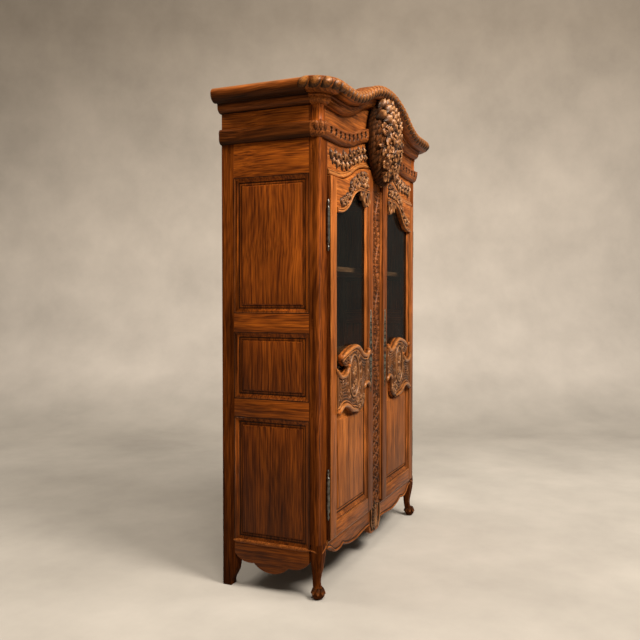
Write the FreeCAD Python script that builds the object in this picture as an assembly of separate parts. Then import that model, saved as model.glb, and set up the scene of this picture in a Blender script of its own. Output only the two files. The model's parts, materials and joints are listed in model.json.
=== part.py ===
"""Glazed two-door armoire with a carved arched cornice, in millimetres.

x runs across the front, y from front to back and z up. While it is built, y is 0 at the front face of
the posts. At the end the whole cabinet is shifted along y, so that its box is centred over the origin.
"""
import FreeCAD, Part
import math
import os

Vector = FreeCAD.Vector

# Case
case_width = 1425.0
case_depth = 493.0
case_height = 2029.0
post_width = 75.0
post_depth = 54.0
post_round = 15.0
rear_post_width = 50.0
rear_post_depth = 63.0
fit_clearance = 0.2
overrun = 5.0
join_tolerance = 0.01

# Front legs, each a cabriole with a scroll toe that points out along the corner
leg_height = 243.0
knee_proud = 3.0
ankle_width = 36.0
ankle_recess = 12.0
toe_radius = 28.0
toe_width = 48.0
toe_proud = 10.0
toe_flat = 1.5
knee_height_share = 0.78
calf_height_share = 0.58
ankle_height_share = 0.38
knee_width_share = 0.86
calf_width_share = 0.68
leg_round_share = 0.34

# Rear feet
rear_foot_width = 42.0
rear_foot_height = 157.0
rear_foot_flare = 6.0
rear_waist_share = 0.54

# Side frames, from the bottom rail up
rail_thickness = 28.0
bottom_rail_top = 218.0
lower_panel_height = 570.0
lower_rail_height = 86.0
middle_panel_height = 301.0
upper_rail_height = 89.0
side_top_rail_height = 154.0
tenon_length = 32.0
tenon_thickness = 9.0
tenon_shoulder = 12.0
side_bottom_rail_height = 61.0
side_scallop_drop = 36.0
side_lobe_drop = 37.0
side_cusp_share = 0.47
side_lobe_share = 0.93

# Side panels and the mouldings round them
panel_thickness = 8.0
panel_setback = 12.0
groove_depth = 10.0
groove_clearance = 1.0
field_rise = 7.0
field_margin = 15.0
field_bevel = 6.0
moulding_width = 20.0
moulding_shares = ((0, 0), (0, 1), (0.2, 1), (0.25, 0.8), (0.5, 0.7), (0.8, 0.3), (1, 0.25), (1, 0))

# Pegs through the side joints
peg_radius = 4.5
peg_length = 34.0
peg_proud = 0.8
peg_clearance = 0.1
peg_spread_share = 0.5

# Front frame
front_rail_thickness = 28.0
front_rail_top = 245.0
front_top_rail_height = 152.5
door_arch_rise = 101.5
door_arch_outer_share = 0.855
door_arch_inner_share = 0.204
muntin_width = 150.0
muntin_tenon_share = 0.66
front_tenon_length = 40.0
apron_end_height = 39.0
apron_lobe_height = 84.0
apron_cusp_height = 73.0
apron_low_height = 102.0
apron_flat_height = 91.0
apron_drop_height = 141.0
apron_drop_tip_share = 0.45
apron_shares = (0.78, 0.665, 0.42, 0.25, 0.1)

# Back
back_rail_thickness = 24.0
back_setback = 9.0
back_top_rail_height = 104.0
back_middle_rail_height = 80.0
back_middle_rail_bottom = 1100.0
back_bottom_rail_height = 95.0
back_bottom_rail_bottom = 160.0
back_board_thickness = 12.0
back_board_count = 7
back_board_gap = 0.6

# Shelves and boards inside
shelf_thickness = 22.0
shelf_front = 62.0
shelf_clearance = 0.5
shelf_tops = (640.0, 1030.0, 1483.0)
floor_thickness = 20.0
cleat_width = 20.0
cleat_height = 25.0
ceiling_thickness = 15.0

# Cornice
cornice_board = 22.0
cornice_height = 196.0
corner_round = 39.0
corner_post_width = 57.0
arch_run_share = 0.83
architrave_rise = 92.0
architrave_height = 68.0
architrave_overhang = 24.0
crown_lap = 56.0
crown_rise = 129.0
crown_height = 101.0
crown_overhang = 95.0
roof_thickness = 15.0
architrave_shares = (
    ((0.3, 0),), ((0.72, 0.1), (1, 0.4)), ((1, 0.74),), ((0.93, 0.93), (0.62, 1)), ((0, 1),))
crown_shares = (
    ((0.08, 0),), ((0.28, 0.06), (0.38, 0.28)), ((0.39, 0.38),), ((0.45, 0.41),),
    ((0.87, 0.5), (1, 0.74)), ((0.97, 0.92), (0.86, 1)), ((0, 1),))

# Carved cartouche in the middle of the cornice
cartouche_width = 340.0
cartouche_height = 447.0
cartouche_drop = 126.0
cartouche_depth = 116.0

# Doors
door_proud = 18.0
door_thickness = 33.0
door_gap = 2.5
stile_width = 68.0
door_bottom_rail_height = 68.5
rebate_width = 10.0
rebate_clearance = 1.0
glass_thickness = 3.0
glass_lap = 8.0
sight_low_drop = 155.0
sight_high_drop = 24.0
sight_outer_share = 0.94
sight_inner_share = 0.25
band_bottom = 925.0
band_height = 60.0
panel_bead_thickness = 3.0
door_field_rise = 8.0
door_field_margin = 17.0
door_field_drop = 151.0
door_moulding_width = 24.0
door_moulding_height = 14.0
bead_thickness = 10.0
door_tenon_length = 42.0
door_tenon_thickness = 8.0
door_tenon_setback = 5.0

# Carved middle rail of a door. Heights and drops are measured up and down from the bottom of the band
# behind the rail, and runs from the stile that is named. A bow is an arc's height as a share of its chord.
curl_run = 70.5
curl_foot_drop = 45.0
flower_drop = 103.0
low_drop = 138.0
swell_drop = 99.0
hinge_foot_drop = 125.0
hinge_head = 90.0
throat_run = 137.0
throat_height = 93.0
claw_run = 52.0
claw_height = 134.0
crest_height = 183.0
dip_run = 44.5
dip_height = 130.0
meeting_head = 153.0
low_share = 0.473
swell_share = 0.796
crest_share = 0.473
curl_bow_share = 0.355
flower_bow_share = 0.17
scoop_bow_share = 0.29
claw_bow_share = 0.225
crest_bow_share = 0.05

# Escutcheons and locks
escutcheon_width = 48.0
escutcheon_height = 417.0
escutcheon_bottom = 855.0
escutcheon_thickness = 2.0
keyhole_radius = 4.0
keyhole_slot_width = 4.0
keyhole_slot_height = 14.0
lock_width = 58.0
lock_height = 90.0
lock_depth = 13.0
lock_edge = 2.0
bolt_length = 40.0
bolt_height = 16.0
bolt_thickness = 8.0
bolt_travel = 14.0
bolt_setback = 1.5
bolt_clearance = 0.15
bolt_wall = 2.0
keep_thickness = 1.5
keep_border = 6.0
keep_clearance = 1.0

# Hinges
hinge_radius = 8.0
hinge_height = 228.0
lower_hinge_rise = 92.5
upper_hinge_drop = 107.0
hinge_stand_off = 1.0
finial_height = 38.0
finial_neck_share = 0.5
finial_ball_share = 0.72
pin_radius = 4.0
pin_end_wall = 16.0
pin_clearance = 0.05
knuckle_gap = 0.2
leaf_thickness = 3.0
leaf_margin = 6.0
leaf_depth = 34.0
leaf_end_gap = 2.0
leaf_clearance = 0.1

# Places that several pieces share
half_width = case_width / 2
post_inner = half_width - post_width
rear_post_inner = half_width - rear_post_width
rear_post_front = case_depth - rear_post_depth
rail_inner = half_width - rail_thickness
lower_rail_bottom = bottom_rail_top + lower_panel_height
middle_panel_bottom = lower_rail_bottom + lower_rail_height
upper_rail_bottom = middle_panel_bottom + middle_panel_height
upper_panel_bottom = upper_rail_bottom + upper_rail_height
top_rail_bottom = case_height - side_top_rail_height
side_scallop_end = bottom_rail_top - side_bottom_rail_height
side_scallop_cusp = side_scallop_end - side_scallop_drop
side_scallop_low = side_scallop_cusp - side_lobe_drop
apron_end = front_rail_top - apron_end_height
apron_lobe = front_rail_top - apron_lobe_height
apron_cusp = front_rail_top - apron_cusp_height
apron_low = front_rail_top - apron_low_height
apron_flat = front_rail_top - apron_flat_height
apron_drop_bottom = front_rail_top - apron_drop_height
door_arch_low = case_height - front_top_rail_height
arch_outer = post_inner * door_arch_outer_share
arch_inner = post_inner * door_arch_inner_share
muntin_half = muntin_width / 2
muntin_thickness = front_rail_thickness
door_hinge_edge = post_inner - door_gap
door_meeting_edge = muntin_half + door_gap
door_front = -door_proud
door_back = door_thickness - door_proud
door_bottom = front_rail_top + door_gap
hinge_stile_inner = door_hinge_edge - stile_width
meeting_stile_inner = door_meeting_edge + stile_width
sight_width = hinge_stile_inner - meeting_stile_inner
door_rail_top = door_bottom + door_bottom_rail_height
door_top_low = door_arch_low - door_gap
door_top_high = door_top_low + door_arch_rise
sight_low = door_top_low - sight_low_drop
sight_high = door_top_low - sight_high_drop
glass_top = sight_high + glass_lap
door_panel_thickness = door_back - panel_bead_thickness
door_field_top = band_bottom - door_field_drop
back_face = case_depth - back_setback
back_front = back_face - back_rail_thickness
cornice_top = case_height + cornice_height
cornice_inner = half_width - cornice_board
crown_bottom = cornice_top - crown_lap
frieze_end = half_width - corner_post_width
arch_run = frieze_end * arch_run_share
keyhole_height = escutcheon_bottom + escutcheon_height / 2
hinge_x = door_hinge_edge + door_gap + hinge_radius
hinge_y = -hinge_stand_off - hinge_radius
hinge_bottoms = (door_bottom + lower_hinge_rise, door_top_low - upper_hinge_drop - hinge_height)
knuckle_length = hinge_height / 2 - finial_height
pin_length = knuckle_length - pin_end_wall
leaf_height = knuckle_length - 2 * leaf_margin
door_leaf_depth = stile_width - door_tenon_length - leaf_end_gap
escutcheon_x = (door_meeting_edge + meeting_stile_inner) / 2

nodes = {}


def box(xs, ys, zs):
    low = Vector(min(xs), min(ys), min(zs))
    return Part.makeBox(abs(xs[1] - xs[0]), abs(ys[1] - ys[0]), abs(zs[1] - zs[0]), low)


def ogee(start, end):
    """Two equal arcs from start to end, level at both ends."""
    run = end[0] - start[0]
    rise = end[1] - start[1]
    turn = 2 * math.atan2(abs(rise), abs(run))
    radius = abs(run) / 2 / math.sin(turn)
    along = math.copysign(radius * math.sin(turn / 2), run)
    up = math.copysign(radius * (1 - math.cos(turn / 2)), rise)
    middle = ((start[0] + end[0]) / 2, (start[1] + end[1]) / 2)
    return [((start[0] + along, start[1] + up), middle), ((end[0] - along, end[1] - up), end)]


def trace(place, start, steps, closed=True):
    """A wire through steps: a step of one point is a line, and one of two is an arc via the first."""
    edges = []
    here = start
    if closed and math.dist(steps[-1][-1], start) > join_tolerance:
        steps = list(steps) + [(start,)]
    for step in steps:
        if len(step) == 1:
            edges.append(Part.makeLine(place(*here), place(*step[0])))
        else:
            edges.append(Part.Arc(place(*here), place(*step[0]), place(*step[1])).toShape())
        here = step[-1]
    return Part.Wire(edges)


def prism_x(start, steps, xs):
    wire = trace(lambda y, z: Vector(xs[0], y, z), start, steps)
    return Part.Face(wire).extrude(Vector(xs[1] - xs[0], 0, 0))


def prism_y(start, steps, ys):
    wire = trace(lambda x, z: Vector(x, ys[0], z), start, steps)
    return Part.Face(wire).extrude(Vector(0, ys[1] - ys[0], 0))


def prism_z(start, steps, zs):
    wire = trace(lambda x, y: Vector(x, y, zs[0]), start, steps)
    return Part.Face(wire).extrude(Vector(0, 0, zs[1] - zs[0]))


def lines(*points):
    return [(point,) for point in points]


def mirrored(shape):
    return shape.mirror(Vector(0, 0, 0), Vector(1, 0, 0))


def both(shapes):
    return shapes + [mirrored(shape) for shape in shapes]


def joined(shapes):
    return shapes[0].multiFuse(shapes[1:]).removeSplitter()


def arch(x_end, x_outer, x_inner, low, high, way):
    """Steps from one end of a symmetric arch to the other, starting at x = -way * x_end."""
    rise_start = (-way * x_outer, low)
    rise_end = (-way * x_inner, high)
    fall_start = (way * x_inner, high)
    fall_end = (way * x_outer, low)
    across = [(fall_start,)] if x_inner else []
    return ([(rise_start,)] + ogee(rise_start, rise_end) + across
            + ogee(fall_start, fall_end) + [((way * x_end, low),)])


def tenon_x(x_from, x_to, ys, zs, slack):
    """A tenon along x, or with slack the mortise that takes it."""
    reach = math.copysign(slack, x_to - x_from)
    return box((x_from, x_to + reach), (ys[0] - slack, ys[1] + slack), (zs[0] - slack, zs[1] + slack))


def tenon_y(y_from, y_to, xs, zs, slack):
    reach = math.copysign(slack, y_to - y_from)
    return box((xs[0] - slack, xs[1] + slack), (y_from, y_to + reach), (zs[0] - slack, zs[1] + slack))


# Side rails: name, bottom, top and the bottom and top of the tenon
side_rails = {
    "side_top_rails": (top_rail_bottom, case_height),
    "side_upper_rails": (upper_rail_bottom, upper_panel_bottom),
    "side_lower_rails": (lower_rail_bottom, middle_panel_bottom),
    "side_bottom_rails": (side_scallop_end, bottom_rail_top)}
side_panels = (
    (bottom_rail_top, lower_rail_bottom), (middle_panel_bottom, upper_rail_bottom),
    (upper_panel_bottom, top_rail_bottom))
tenon_outer = half_width - (rail_thickness - tenon_thickness) / 2
side_tenon_x = (-tenon_outer, tenon_thickness - tenon_outer)
groove_x = (panel_setback - half_width, panel_setback + panel_thickness - half_width)


def side_tenons(slack):
    """Tenons of the left side rails at both ends, or their mortises."""
    found = []
    for bottom, top in side_rails.values():
        zs = (bottom + tenon_shoulder, top - tenon_shoulder)
        found.append(tenon_y(post_depth, post_depth - tenon_length, side_tenon_x, zs, slack))
        found.append(tenon_y(rear_post_front, rear_post_front + tenon_length, side_tenon_x, zs, slack))
    return found


def pegs(slack):
    """Pegs of the left side joints, or with slack their holes, which run past the peg's ends."""
    found = []
    for bottom, top in side_rails.values():
        spread = (top - bottom - 2 * tenon_shoulder) * peg_spread_share / 2
        for y in (post_depth - tenon_length / 2, rear_post_front + tenon_length / 2):
            for z in ((bottom + top) / 2 - spread, (bottom + top) / 2 + spread):
                foot = Vector(-half_width - peg_proud - slack, y, z)
                found.append(Part.makeCylinder(peg_radius + slack, peg_length + slack * 2, foot,
                                               Vector(1, 0, 0)))
    return found


def panel_grooves():
    """Grooves in the left posts and rails that hold the side panels."""
    deep = groove_depth
    return [box((groove_x[0] - fit_clearance, groove_x[1] + fit_clearance),
                (post_depth - deep, rear_post_front + deep), (bottom - deep, top + deep))
            for bottom, top in side_panels]


# Front tenons lie in the middle of the rails' thickness
front_tenon_y = ((front_rail_thickness - tenon_thickness) / 2, (front_rail_thickness + tenon_thickness) / 2)
front_rail_tenons = (
    (apron_end + tenon_shoulder / 2, front_rail_top - tenon_shoulder / 2),
    (door_arch_low + tenon_shoulder, case_height - tenon_shoulder))


def front_tenons(slack):
    return [tenon_x(-post_inner, -post_inner - front_tenon_length, front_tenon_y, zs, slack)
            for zs in front_rail_tenons]


def muntin_tenons(slack):
    xs = (-muntin_half * muntin_tenon_share, muntin_half * muntin_tenon_share)
    top = door_arch_low + door_arch_rise
    up = box((xs[0] - slack, xs[1] + slack), (front_tenon_y[0] - slack, front_tenon_y[1] + slack),
             (top, top + tenon_length + slack))
    down = box((xs[0] - slack, xs[1] + slack), (front_tenon_y[0] - slack, front_tenon_y[1] + slack),
               (front_rail_top, front_rail_top - tenon_length - slack))
    return [up, down]


# Back rails and the tenons at their left ends
back_rails = (
    (back_bottom_rail_bottom, back_bottom_rail_bottom + back_bottom_rail_height),
    (back_middle_rail_bottom, back_middle_rail_bottom + back_middle_rail_height),
    (case_height - back_top_rail_height, case_height))
back_tenon_y = (back_front + (back_rail_thickness - tenon_thickness) / 2,
                back_front + (back_rail_thickness + tenon_thickness) / 2)
back_tenon_length = rear_post_width - rail_thickness


def back_tenons(slack):
    return [tenon_x(-rear_post_inner, -rear_post_inner - back_tenon_length, back_tenon_y,
                    (bottom + tenon_shoulder, top - tenon_shoulder), slack)
            for bottom, top in back_rails]


def hinge_leaf_post(bottom, slack):
    """Leaf of a hinge's lower half, which goes straight back into the left post."""
    middle = bottom + finial_height + knuckle_length / 2
    half = leaf_thickness / 2 + slack
    return box((-hinge_x - half, -hinge_x + half), (hinge_y, leaf_depth + slack),
               (middle - leaf_height / 2 - slack, middle + leaf_height / 2 + slack))


def hinge_leaf_door(bottom, slack):
    """Leaf of a hinge's upper half, which goes into the edge of the left door."""
    middle = bottom + hinge_height / 2 + knuckle_length / 2
    half = leaf_thickness / 2 + slack
    return box((-hinge_x, -door_hinge_edge + door_leaf_depth + slack), (hinge_y - half, hinge_y + half),
               (middle - leaf_height / 2 - slack, middle + leaf_height / 2 + slack))


def rounded_rectangle(xs, ys, z, radius):
    """A level wire with rounded corners."""
    cut = radius * (1 - math.sqrt(2) / 2)
    steps = lines((xs[1] - radius, ys[0]))
    steps += [((xs[1] - cut, ys[0] + cut), (xs[1], ys[0] + radius)), ((xs[1], ys[1] - radius),)]
    steps += [((xs[1] - cut, ys[1] - cut), (xs[1] - radius, ys[1])), ((xs[0] + radius, ys[1]),)]
    steps += [((xs[0] + cut, ys[1] - cut), (xs[0], ys[1] - radius)), ((xs[0], ys[0] + radius),)]
    steps += [((xs[0] + cut, ys[0] + cut), (xs[0] + radius, ys[0]))]
    return trace(lambda x, y: Vector(x, y, z), (xs[0] + radius, ys[0]), steps)


def toe():
    """A scroll toe: a barrel across the leg's diagonal, cut flat where it stands."""
    reach = toe_radius - toe_proud
    centre = Vector(-half_width + reach, reach, toe_radius - toe_flat)
    half = toe_width / 2
    end = toe_radius * calf_width_share
    wire = trace(lambda along, out: Vector(along, out, 0), (-half, 0),
                 [((-half, end),), ((0, toe_radius), (half, end)), ((half, 0),)])
    barrel = Part.Face(wire).revolve(Vector(0, 0, 0), Vector(1, 0, 0), 360)
    barrel.rotate(Vector(0, 0, 0), Vector(0, 0, 1), -45)
    barrel.translate(centre)
    under = box((centre.x - half * 2, centre.x + half * 2), (centre.y - half * 2, centre.y + half * 2),
                (-toe_radius, 0))
    return barrel.cut(under)


def front_post():
    """Left front post with its leg."""
    cut = post_round * (1 - math.sqrt(2) / 2)
    post = prism_z(
        (-half_width, post_depth),
        [((-half_width, post_round),),
         ((-half_width + cut, cut), (-half_width + post_round, 0)), ((-post_inner, 0),),
         ((-post_inner, post_depth),)], (leg_height, case_height))
    knee = (post_width * knee_width_share, post_depth + knee_proud)
    calf = (post_width * calf_width_share, post_depth * knee_width_share)
    sections = (
        (1, -knee_proud / 2, (post_width, post_depth)),
        (knee_height_share, -knee_proud, knee),
        (calf_height_share, ankle_recess / 3, calf),
        (ankle_height_share, ankle_recess, (ankle_width, ankle_width)),
        (ankle_height_share / 2, ankle_recess / 2, (ankle_width, ankle_width)))
    wires = []
    for share, recess, (wide, deep) in sections:
        x = -half_width + recess
        wires.append(rounded_rectangle((x, x + wide), (recess, recess + deep), leg_height * share,
                                       min(wide, deep) * leg_round_share))
    behind = box((-case_width, 0), (post_depth, case_depth), (0, leg_height))
    leg = Part.makeLoft(wires, True, False).cut(behind)
    post = joined([post, leg, toe()])
    cuts = side_tenons(fit_clearance) + pegs(peg_clearance) + panel_grooves() + front_tenons(fit_clearance)
    cuts += [hinge_leaf_post(bottom, leaf_clearance) for bottom in hinge_bottoms]
    return post.cut(cuts)


def rear_post():
    """Left rear post, with a foot that curves in below the side rail."""
    front = rear_post_front
    back = case_depth
    waist = rear_foot_height * rear_waist_share
    foot_front = back - rear_foot_width
    outline = lines((back, case_height), (front, case_height), (front, rear_foot_height))
    outline += [((front - rear_foot_flare, waist), ((front + foot_front) / 2, waist / 2)),
                ((foot_front, waist / 4), (foot_front, 0))]
    post = prism_x((back, 0), outline, (-half_width, -rear_post_inner))
    return post.cut(side_tenons(fit_clearance) + pegs(peg_clearance) + panel_grooves()
                    + back_tenons(fit_clearance))


def make_posts():
    nodes["front_left_post"] = [front_post()]
    nodes["front_right_post"] = [mirrored(front_post())]
    nodes["rear_left_post"] = [rear_post()]
    nodes["rear_right_post"] = [mirrored(rear_post())]


def scalloped_rail():
    """Left bottom rail: two small lobes and a deep one in the middle, hanging below the panel."""
    middle = (post_depth + rear_post_front) / 2
    half = (rear_post_front - post_depth) / 2
    cusp = half * side_cusp_share
    lobe = half * side_lobe_share

    def end(way):
        corner = (middle + way * half, side_scallop_end)
        lobe_end = (middle + way * cusp, side_scallop_cusp)
        bulge = (middle + way * (cusp + lobe) / 2, (side_scallop_end + side_scallop_cusp) / 2
                 - (side_scallop_end - side_scallop_cusp) / 2)
        return corner, bulge, lobe_end

    front_corner, front_bulge, front_cusp = end(-1)
    rear_corner, rear_bulge, rear_cusp = end(1)
    steps = [(front_bulge, front_cusp), ((middle, side_scallop_low), rear_cusp), (rear_bulge, rear_corner),
             ((rear_corner[0], bottom_rail_top),), ((front_corner[0], bottom_rail_top),)]
    return prism_x(front_corner, steps, (-half_width, -rail_inner))


def make_side_rails():
    tenons = side_tenons(0)
    holes = pegs(peg_clearance)
    for index, (name, (bottom, top)) in enumerate(side_rails.items()):
        rail = box((-half_width, -rail_inner), (post_depth, rear_post_front), (bottom, top))
        if name == "side_bottom_rails":
            rail = scalloped_rail()
        rail = joined([rail] + tenons[index * 2:index * 2 + 2])
        nodes[name] = both([rail.cut(holes + panel_grooves())])
    nodes["joint_pegs"] = both(pegs(0))


def side_panel(bottom, top):
    """Raised panel of the left side, with its edges in the grooves."""
    edge = groove_depth - groove_clearance
    board = box(groove_x, (post_depth - edge, rear_post_front + edge), (bottom - edge, top + edge))
    inset = moulding_width + field_margin
    base_x = groove_x[0]
    base = Part.makePolygon(panel_corners(base_x, inset, bottom, top))
    crest = Part.makePolygon(panel_corners(base_x - field_rise, inset + field_bevel, bottom, top))
    return joined([board, Part.makeLoft([base, crest], True, True)])


def panel_corners(x, inset, bottom, top):
    ys = (post_depth + inset, rear_post_front - inset)
    zs = (bottom + inset, top - inset)
    corners = [(ys[0], zs[0]), (ys[1], zs[0]), (ys[1], zs[1]), (ys[0], zs[1]), (ys[0], zs[0])]
    return [Vector(x, y, z) for y, z in corners]


def mitred_strip(start, end, inward, outward, width, height, shares, mitres=(1, 1)):
    """A moulding from start to end, whose ends are cut back by its width where they are mitred."""
    along = (end - start).normalize()
    rings = []
    for point, way in ((start, mitres[0]), (end, -mitres[1])):
        ring = [point + inward * (width * u) + outward * (height * v) + along * (width * u * way)
                for u, v in shares]
        rings.append(Part.makePolygon(ring + ring[:1]))
    return Part.makeLoft(rings, True, True)


def side_mouldings():
    """Four mitred strips round each left side panel."""
    found = []
    outward = Vector(-1, 0, 0)
    for bottom, top in side_panels:
        corners = [Vector(groove_x[0], y, z) for y, z in
                   ((post_depth, bottom), (rear_post_front, bottom), (rear_post_front, top),
                    (post_depth, top))]
        for here, there in zip(corners, corners[1:] + corners[:1]):
            inward = Vector(1, 0, 0).cross(there - here).normalize()
            found.append(mitred_strip(here, there, inward, outward, moulding_width, panel_setback,
                                      moulding_shares))
    return found


def make_side_panels():
    panels = [side_panel(bottom, top) for bottom, top in side_panels]
    nodes["left_side_panels"] = panels
    nodes["right_side_panels"] = [mirrored(panel) for panel in panels]
    nodes["left_side_mouldings"] = side_mouldings()
    nodes["right_side_mouldings"] = [mirrored(strip) for strip in side_mouldings()]


def make_front_frame():
    ys = (0, front_rail_thickness)
    top_rail = prism_y(
        (-post_inner, door_arch_low),
        arch(post_inner, arch_outer, arch_inner, door_arch_low, door_arch_low + door_arch_rise, 1)
        + lines((post_inner, case_height))
        + arch(post_inner, arch_run, 0, case_height, case_height + architrave_rise, -1), ys)
    muntin_up, muntin_down = muntin_tenons(fit_clearance)
    tenons = front_tenons(0)
    top_tenons = [tenons[1], mirrored(tenons[1])]
    nodes["front_top_rail"] = [joined([top_rail] + top_tenons).cut(muntin_up)]

    half = apron_outline(-1)
    apron = joined([half, mirrored(half)] + [tenons[0], mirrored(tenons[0])])
    nodes["front_bottom_rail"] = [apron.cut(muntin_down)]

    muntin = box((-muntin_half, muntin_half), ys, (front_rail_top, door_arch_low + door_arch_rise))
    keep_cuts = [keep_plate(), bolt_mortise()]
    keep_cuts += [mirrored(cut) for cut in keep_cuts]
    nodes["centre_muntin"] = [joined([muntin] + muntin_tenons(0)).cut(keep_cuts)]


def apron_outline(way):
    """Left half of the front bottom rail, scalloped, with half of the drop at the middle."""
    span = post_inner - muntin_half
    lobe, cusp, low, rise, flat = [way * (muntin_half + span * share) for share in apron_shares]
    tip = way * muntin_half * apron_drop_tip_share
    steps = ogee((way * post_inner, apron_end), (lobe, apron_lobe))
    steps += [(((lobe + cusp) / 2, (apron_lobe + apron_cusp) / 2 - (apron_cusp - apron_lobe) / 3),
               (cusp, apron_cusp))]
    steps += [((low, apron_low), (rise, (apron_low + apron_flat) / 2))]
    steps += [((flat, apron_flat),), ((way * muntin_half, apron_flat),)]
    steps += [((way * muntin_half, (apron_flat + apron_drop_bottom) / 2), (tip, apron_drop_bottom))]
    steps += lines((0, apron_drop_bottom), (0, front_rail_top), (way * post_inner, front_rail_top))
    return prism_y((way * post_inner, apron_end), steps, (0, front_rail_thickness))


def make_back():
    rails = []
    grooves = []
    boards = []
    board_y = (back_front + (back_rail_thickness - back_board_thickness) / 2,
               back_front + (back_rail_thickness + back_board_thickness) / 2)
    pitch = 2 * rear_post_inner / back_board_count
    for (_, bottom), (top, _) in zip(back_rails, back_rails[1:]):
        edge = groove_depth - groove_clearance
        grooves.append(box((-rear_post_inner, rear_post_inner),
                           (board_y[0] - fit_clearance, board_y[1] + fit_clearance),
                           (bottom - groove_depth, top + groove_depth)))
        for index in range(back_board_count):
            x = -rear_post_inner + pitch * index
            boards.append(box((x + back_board_gap / 2, x + pitch - back_board_gap / 2), board_y,
                              (bottom - edge, top + edge)))
    for (bottom, top), tenon in zip(back_rails, back_tenons(0)):
        rail = box((-rear_post_inner, rear_post_inner), (back_front, back_face), (bottom, top))
        rails.append(joined([rail, tenon, mirrored(tenon)]).cut(grooves))
    nodes["back_rails"] = rails
    nodes["back_boards"] = boards


def inside_board(y_front, zs):
    """A level board that fills the case from side to side, notched round the posts."""
    wide = rail_inner - shelf_clearance
    board = box((-wide, wide), (y_front, back_front), zs)
    slack = shelf_clearance
    tall = (zs[0] - overrun, zs[1] + overrun)
    front = box((-half_width, -post_inner + slack), (-overrun, post_depth + slack), tall)
    rear = box((-half_width, -rear_post_inner + slack), (rear_post_front - slack, case_depth), tall)
    return board.cut(both([front, rear]))


def make_inside():
    floor_top = front_rail_top
    levels = [top - shelf_thickness for top in shelf_tops] + [floor_top - floor_thickness]
    cleats = [box((-rail_inner, -rail_inner + cleat_width), (post_depth, rear_post_front),
                  (level - cleat_height, level)) for level in levels]
    nodes["shelf_cleats"] = both(cleats)
    nodes["shelves"] = [inside_board(shelf_front, (top - shelf_thickness, top)) for top in shelf_tops]
    nodes["floor_board"] = [inside_board(front_rail_thickness, (floor_top - floor_thickness, floor_top))]
    nodes["ceiling_board"] = [
        box((shelf_clearance - cornice_inner, cornice_inner - shelf_clearance),
            (front_rail_thickness + shelf_clearance, case_depth - cornice_board - shelf_clearance),
            (case_height, case_height + ceiling_thickness))]


def profile(shares, overhang, height, place):
    """A closed moulding section from shares of its overhang and height."""
    steps = [tuple((out * overhang, up * height) for out, up in step) for step in shares]
    return Part.Face(trace(place, (0, 0), steps))


def front_moulding(shares, overhang, height, bottom, rise):
    """A moulding that follows the arch of the cornice and turns both rounded corners."""
    end = half_width - corner_round
    path = trace(lambda x, z: Vector(x, 0, z), (-end, bottom),
                 arch(end, arch_run, 0, bottom, bottom + rise, 1), closed=False)
    section = profile(shares, overhang, height, lambda out, up: Vector(-end, -out, bottom + up))
    shell = Part.BRepOffsetAPI.MakePipeShell(path)
    shell.setBiNormalMode(Vector(0, 1, 0))
    shell.add(section.OuterWire)
    shell.build()
    shell.makeSolid()
    turn = section.revolve(Vector(-end, corner_round, 0), Vector(0, 0, 1), -90)
    return [Part.Solid(shell.shape()), turn, mirrored(turn)]


def side_moulding(shares, overhang, height, bottom):
    section = profile(shares, overhang, height,
                      lambda out, up: Vector(-half_width - out, corner_round, bottom + up))
    return section.extrude(Vector(0, case_depth - corner_round, 0))


def make_cornice():
    boards = (case_height, cornice_top)
    nodes["cornice_front_frieze"] = [prism_y(
        (-frieze_end, case_height),
        arch(frieze_end, arch_run, 0, case_height, case_height + architrave_rise, 1)
        + lines((frieze_end, cornice_top))
        + arch(frieze_end, arch_run, 0, cornice_top, cornice_top + crown_rise, -1), (0, cornice_board))]
    nodes["cornice_side_friezes"] = both(
        [box((-half_width, -cornice_inner), (post_depth, case_depth), boards)])
    cut = corner_round * (1 - math.sqrt(2) / 2)
    corner = prism_z(
        (-half_width, post_depth),
        [((-half_width, corner_round),),
         ((-half_width + cut, cut), (-half_width + corner_round, 0)), ((-frieze_end, 0),),
         ((-frieze_end, cornice_board),), ((-cornice_inner, cornice_board),), ((-cornice_inner, post_depth),)],
        boards)
    nodes["cornice_corner_posts"] = both([corner])
    nodes["cornice_back_rail"] = [
        box((-cornice_inner, cornice_inner), (case_depth - cornice_board, case_depth), boards)]
    for name, shares, overhang, height, bottom, rise in (
            ("architrave", architrave_shares, architrave_overhang, architrave_height, case_height,
             architrave_rise),
            ("crown", crown_shares, crown_overhang, crown_height, crown_bottom, crown_rise)):
        nodes["cornice_front_" + name] = front_moulding(shares, overhang, height, bottom, rise)
        nodes["cornice_side_" + name + "s"] = both([side_moulding(shares, overhang, height, bottom)])
    roof = box((-half_width, half_width), (cornice_board, case_depth),
               (cornice_top, cornice_top + roof_thickness))
    nodes["cornice_roof_board"] = [roof.cut(nodes["cornice_front_crown"][1:])]


def make_cartouche():
    """A domed oval over the middle of the cornice, fitted to its mouldings and clear of the doors."""
    middle = case_height - cartouche_drop + cartouche_height / 2
    dome = Part.makeSphere(1)
    stretch = FreeCAD.Matrix()
    stretch.scale(cartouche_width / 2, cartouche_depth, cartouche_height / 2)
    dome = dome.transformGeometry(stretch)
    dome.translate(Vector(0, 0, middle))
    wide = cartouche_width
    behind = box((-wide, wide), (0, cartouche_depth + overrun),
                 (middle - cartouche_height, middle + cartouche_height))
    beside = box((-wide, -muntin_half), (-cartouche_depth - overrun, 0),
                 (0, door_arch_low + door_arch_rise))
    cuts = [behind, nodes["cornice_front_architrave"][0], nodes["cornice_front_crown"][0]] + both([beside])
    pieces = dome.cut(cuts).Solids
    nodes["cartouche"] = [max(pieces, key=lambda solid: solid.Volume)]


def door_x(share):
    """Place across the sight opening of the left door, from the meeting stile to the hinge stile."""
    return -(meeting_stile_inner + sight_width * share)


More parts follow.
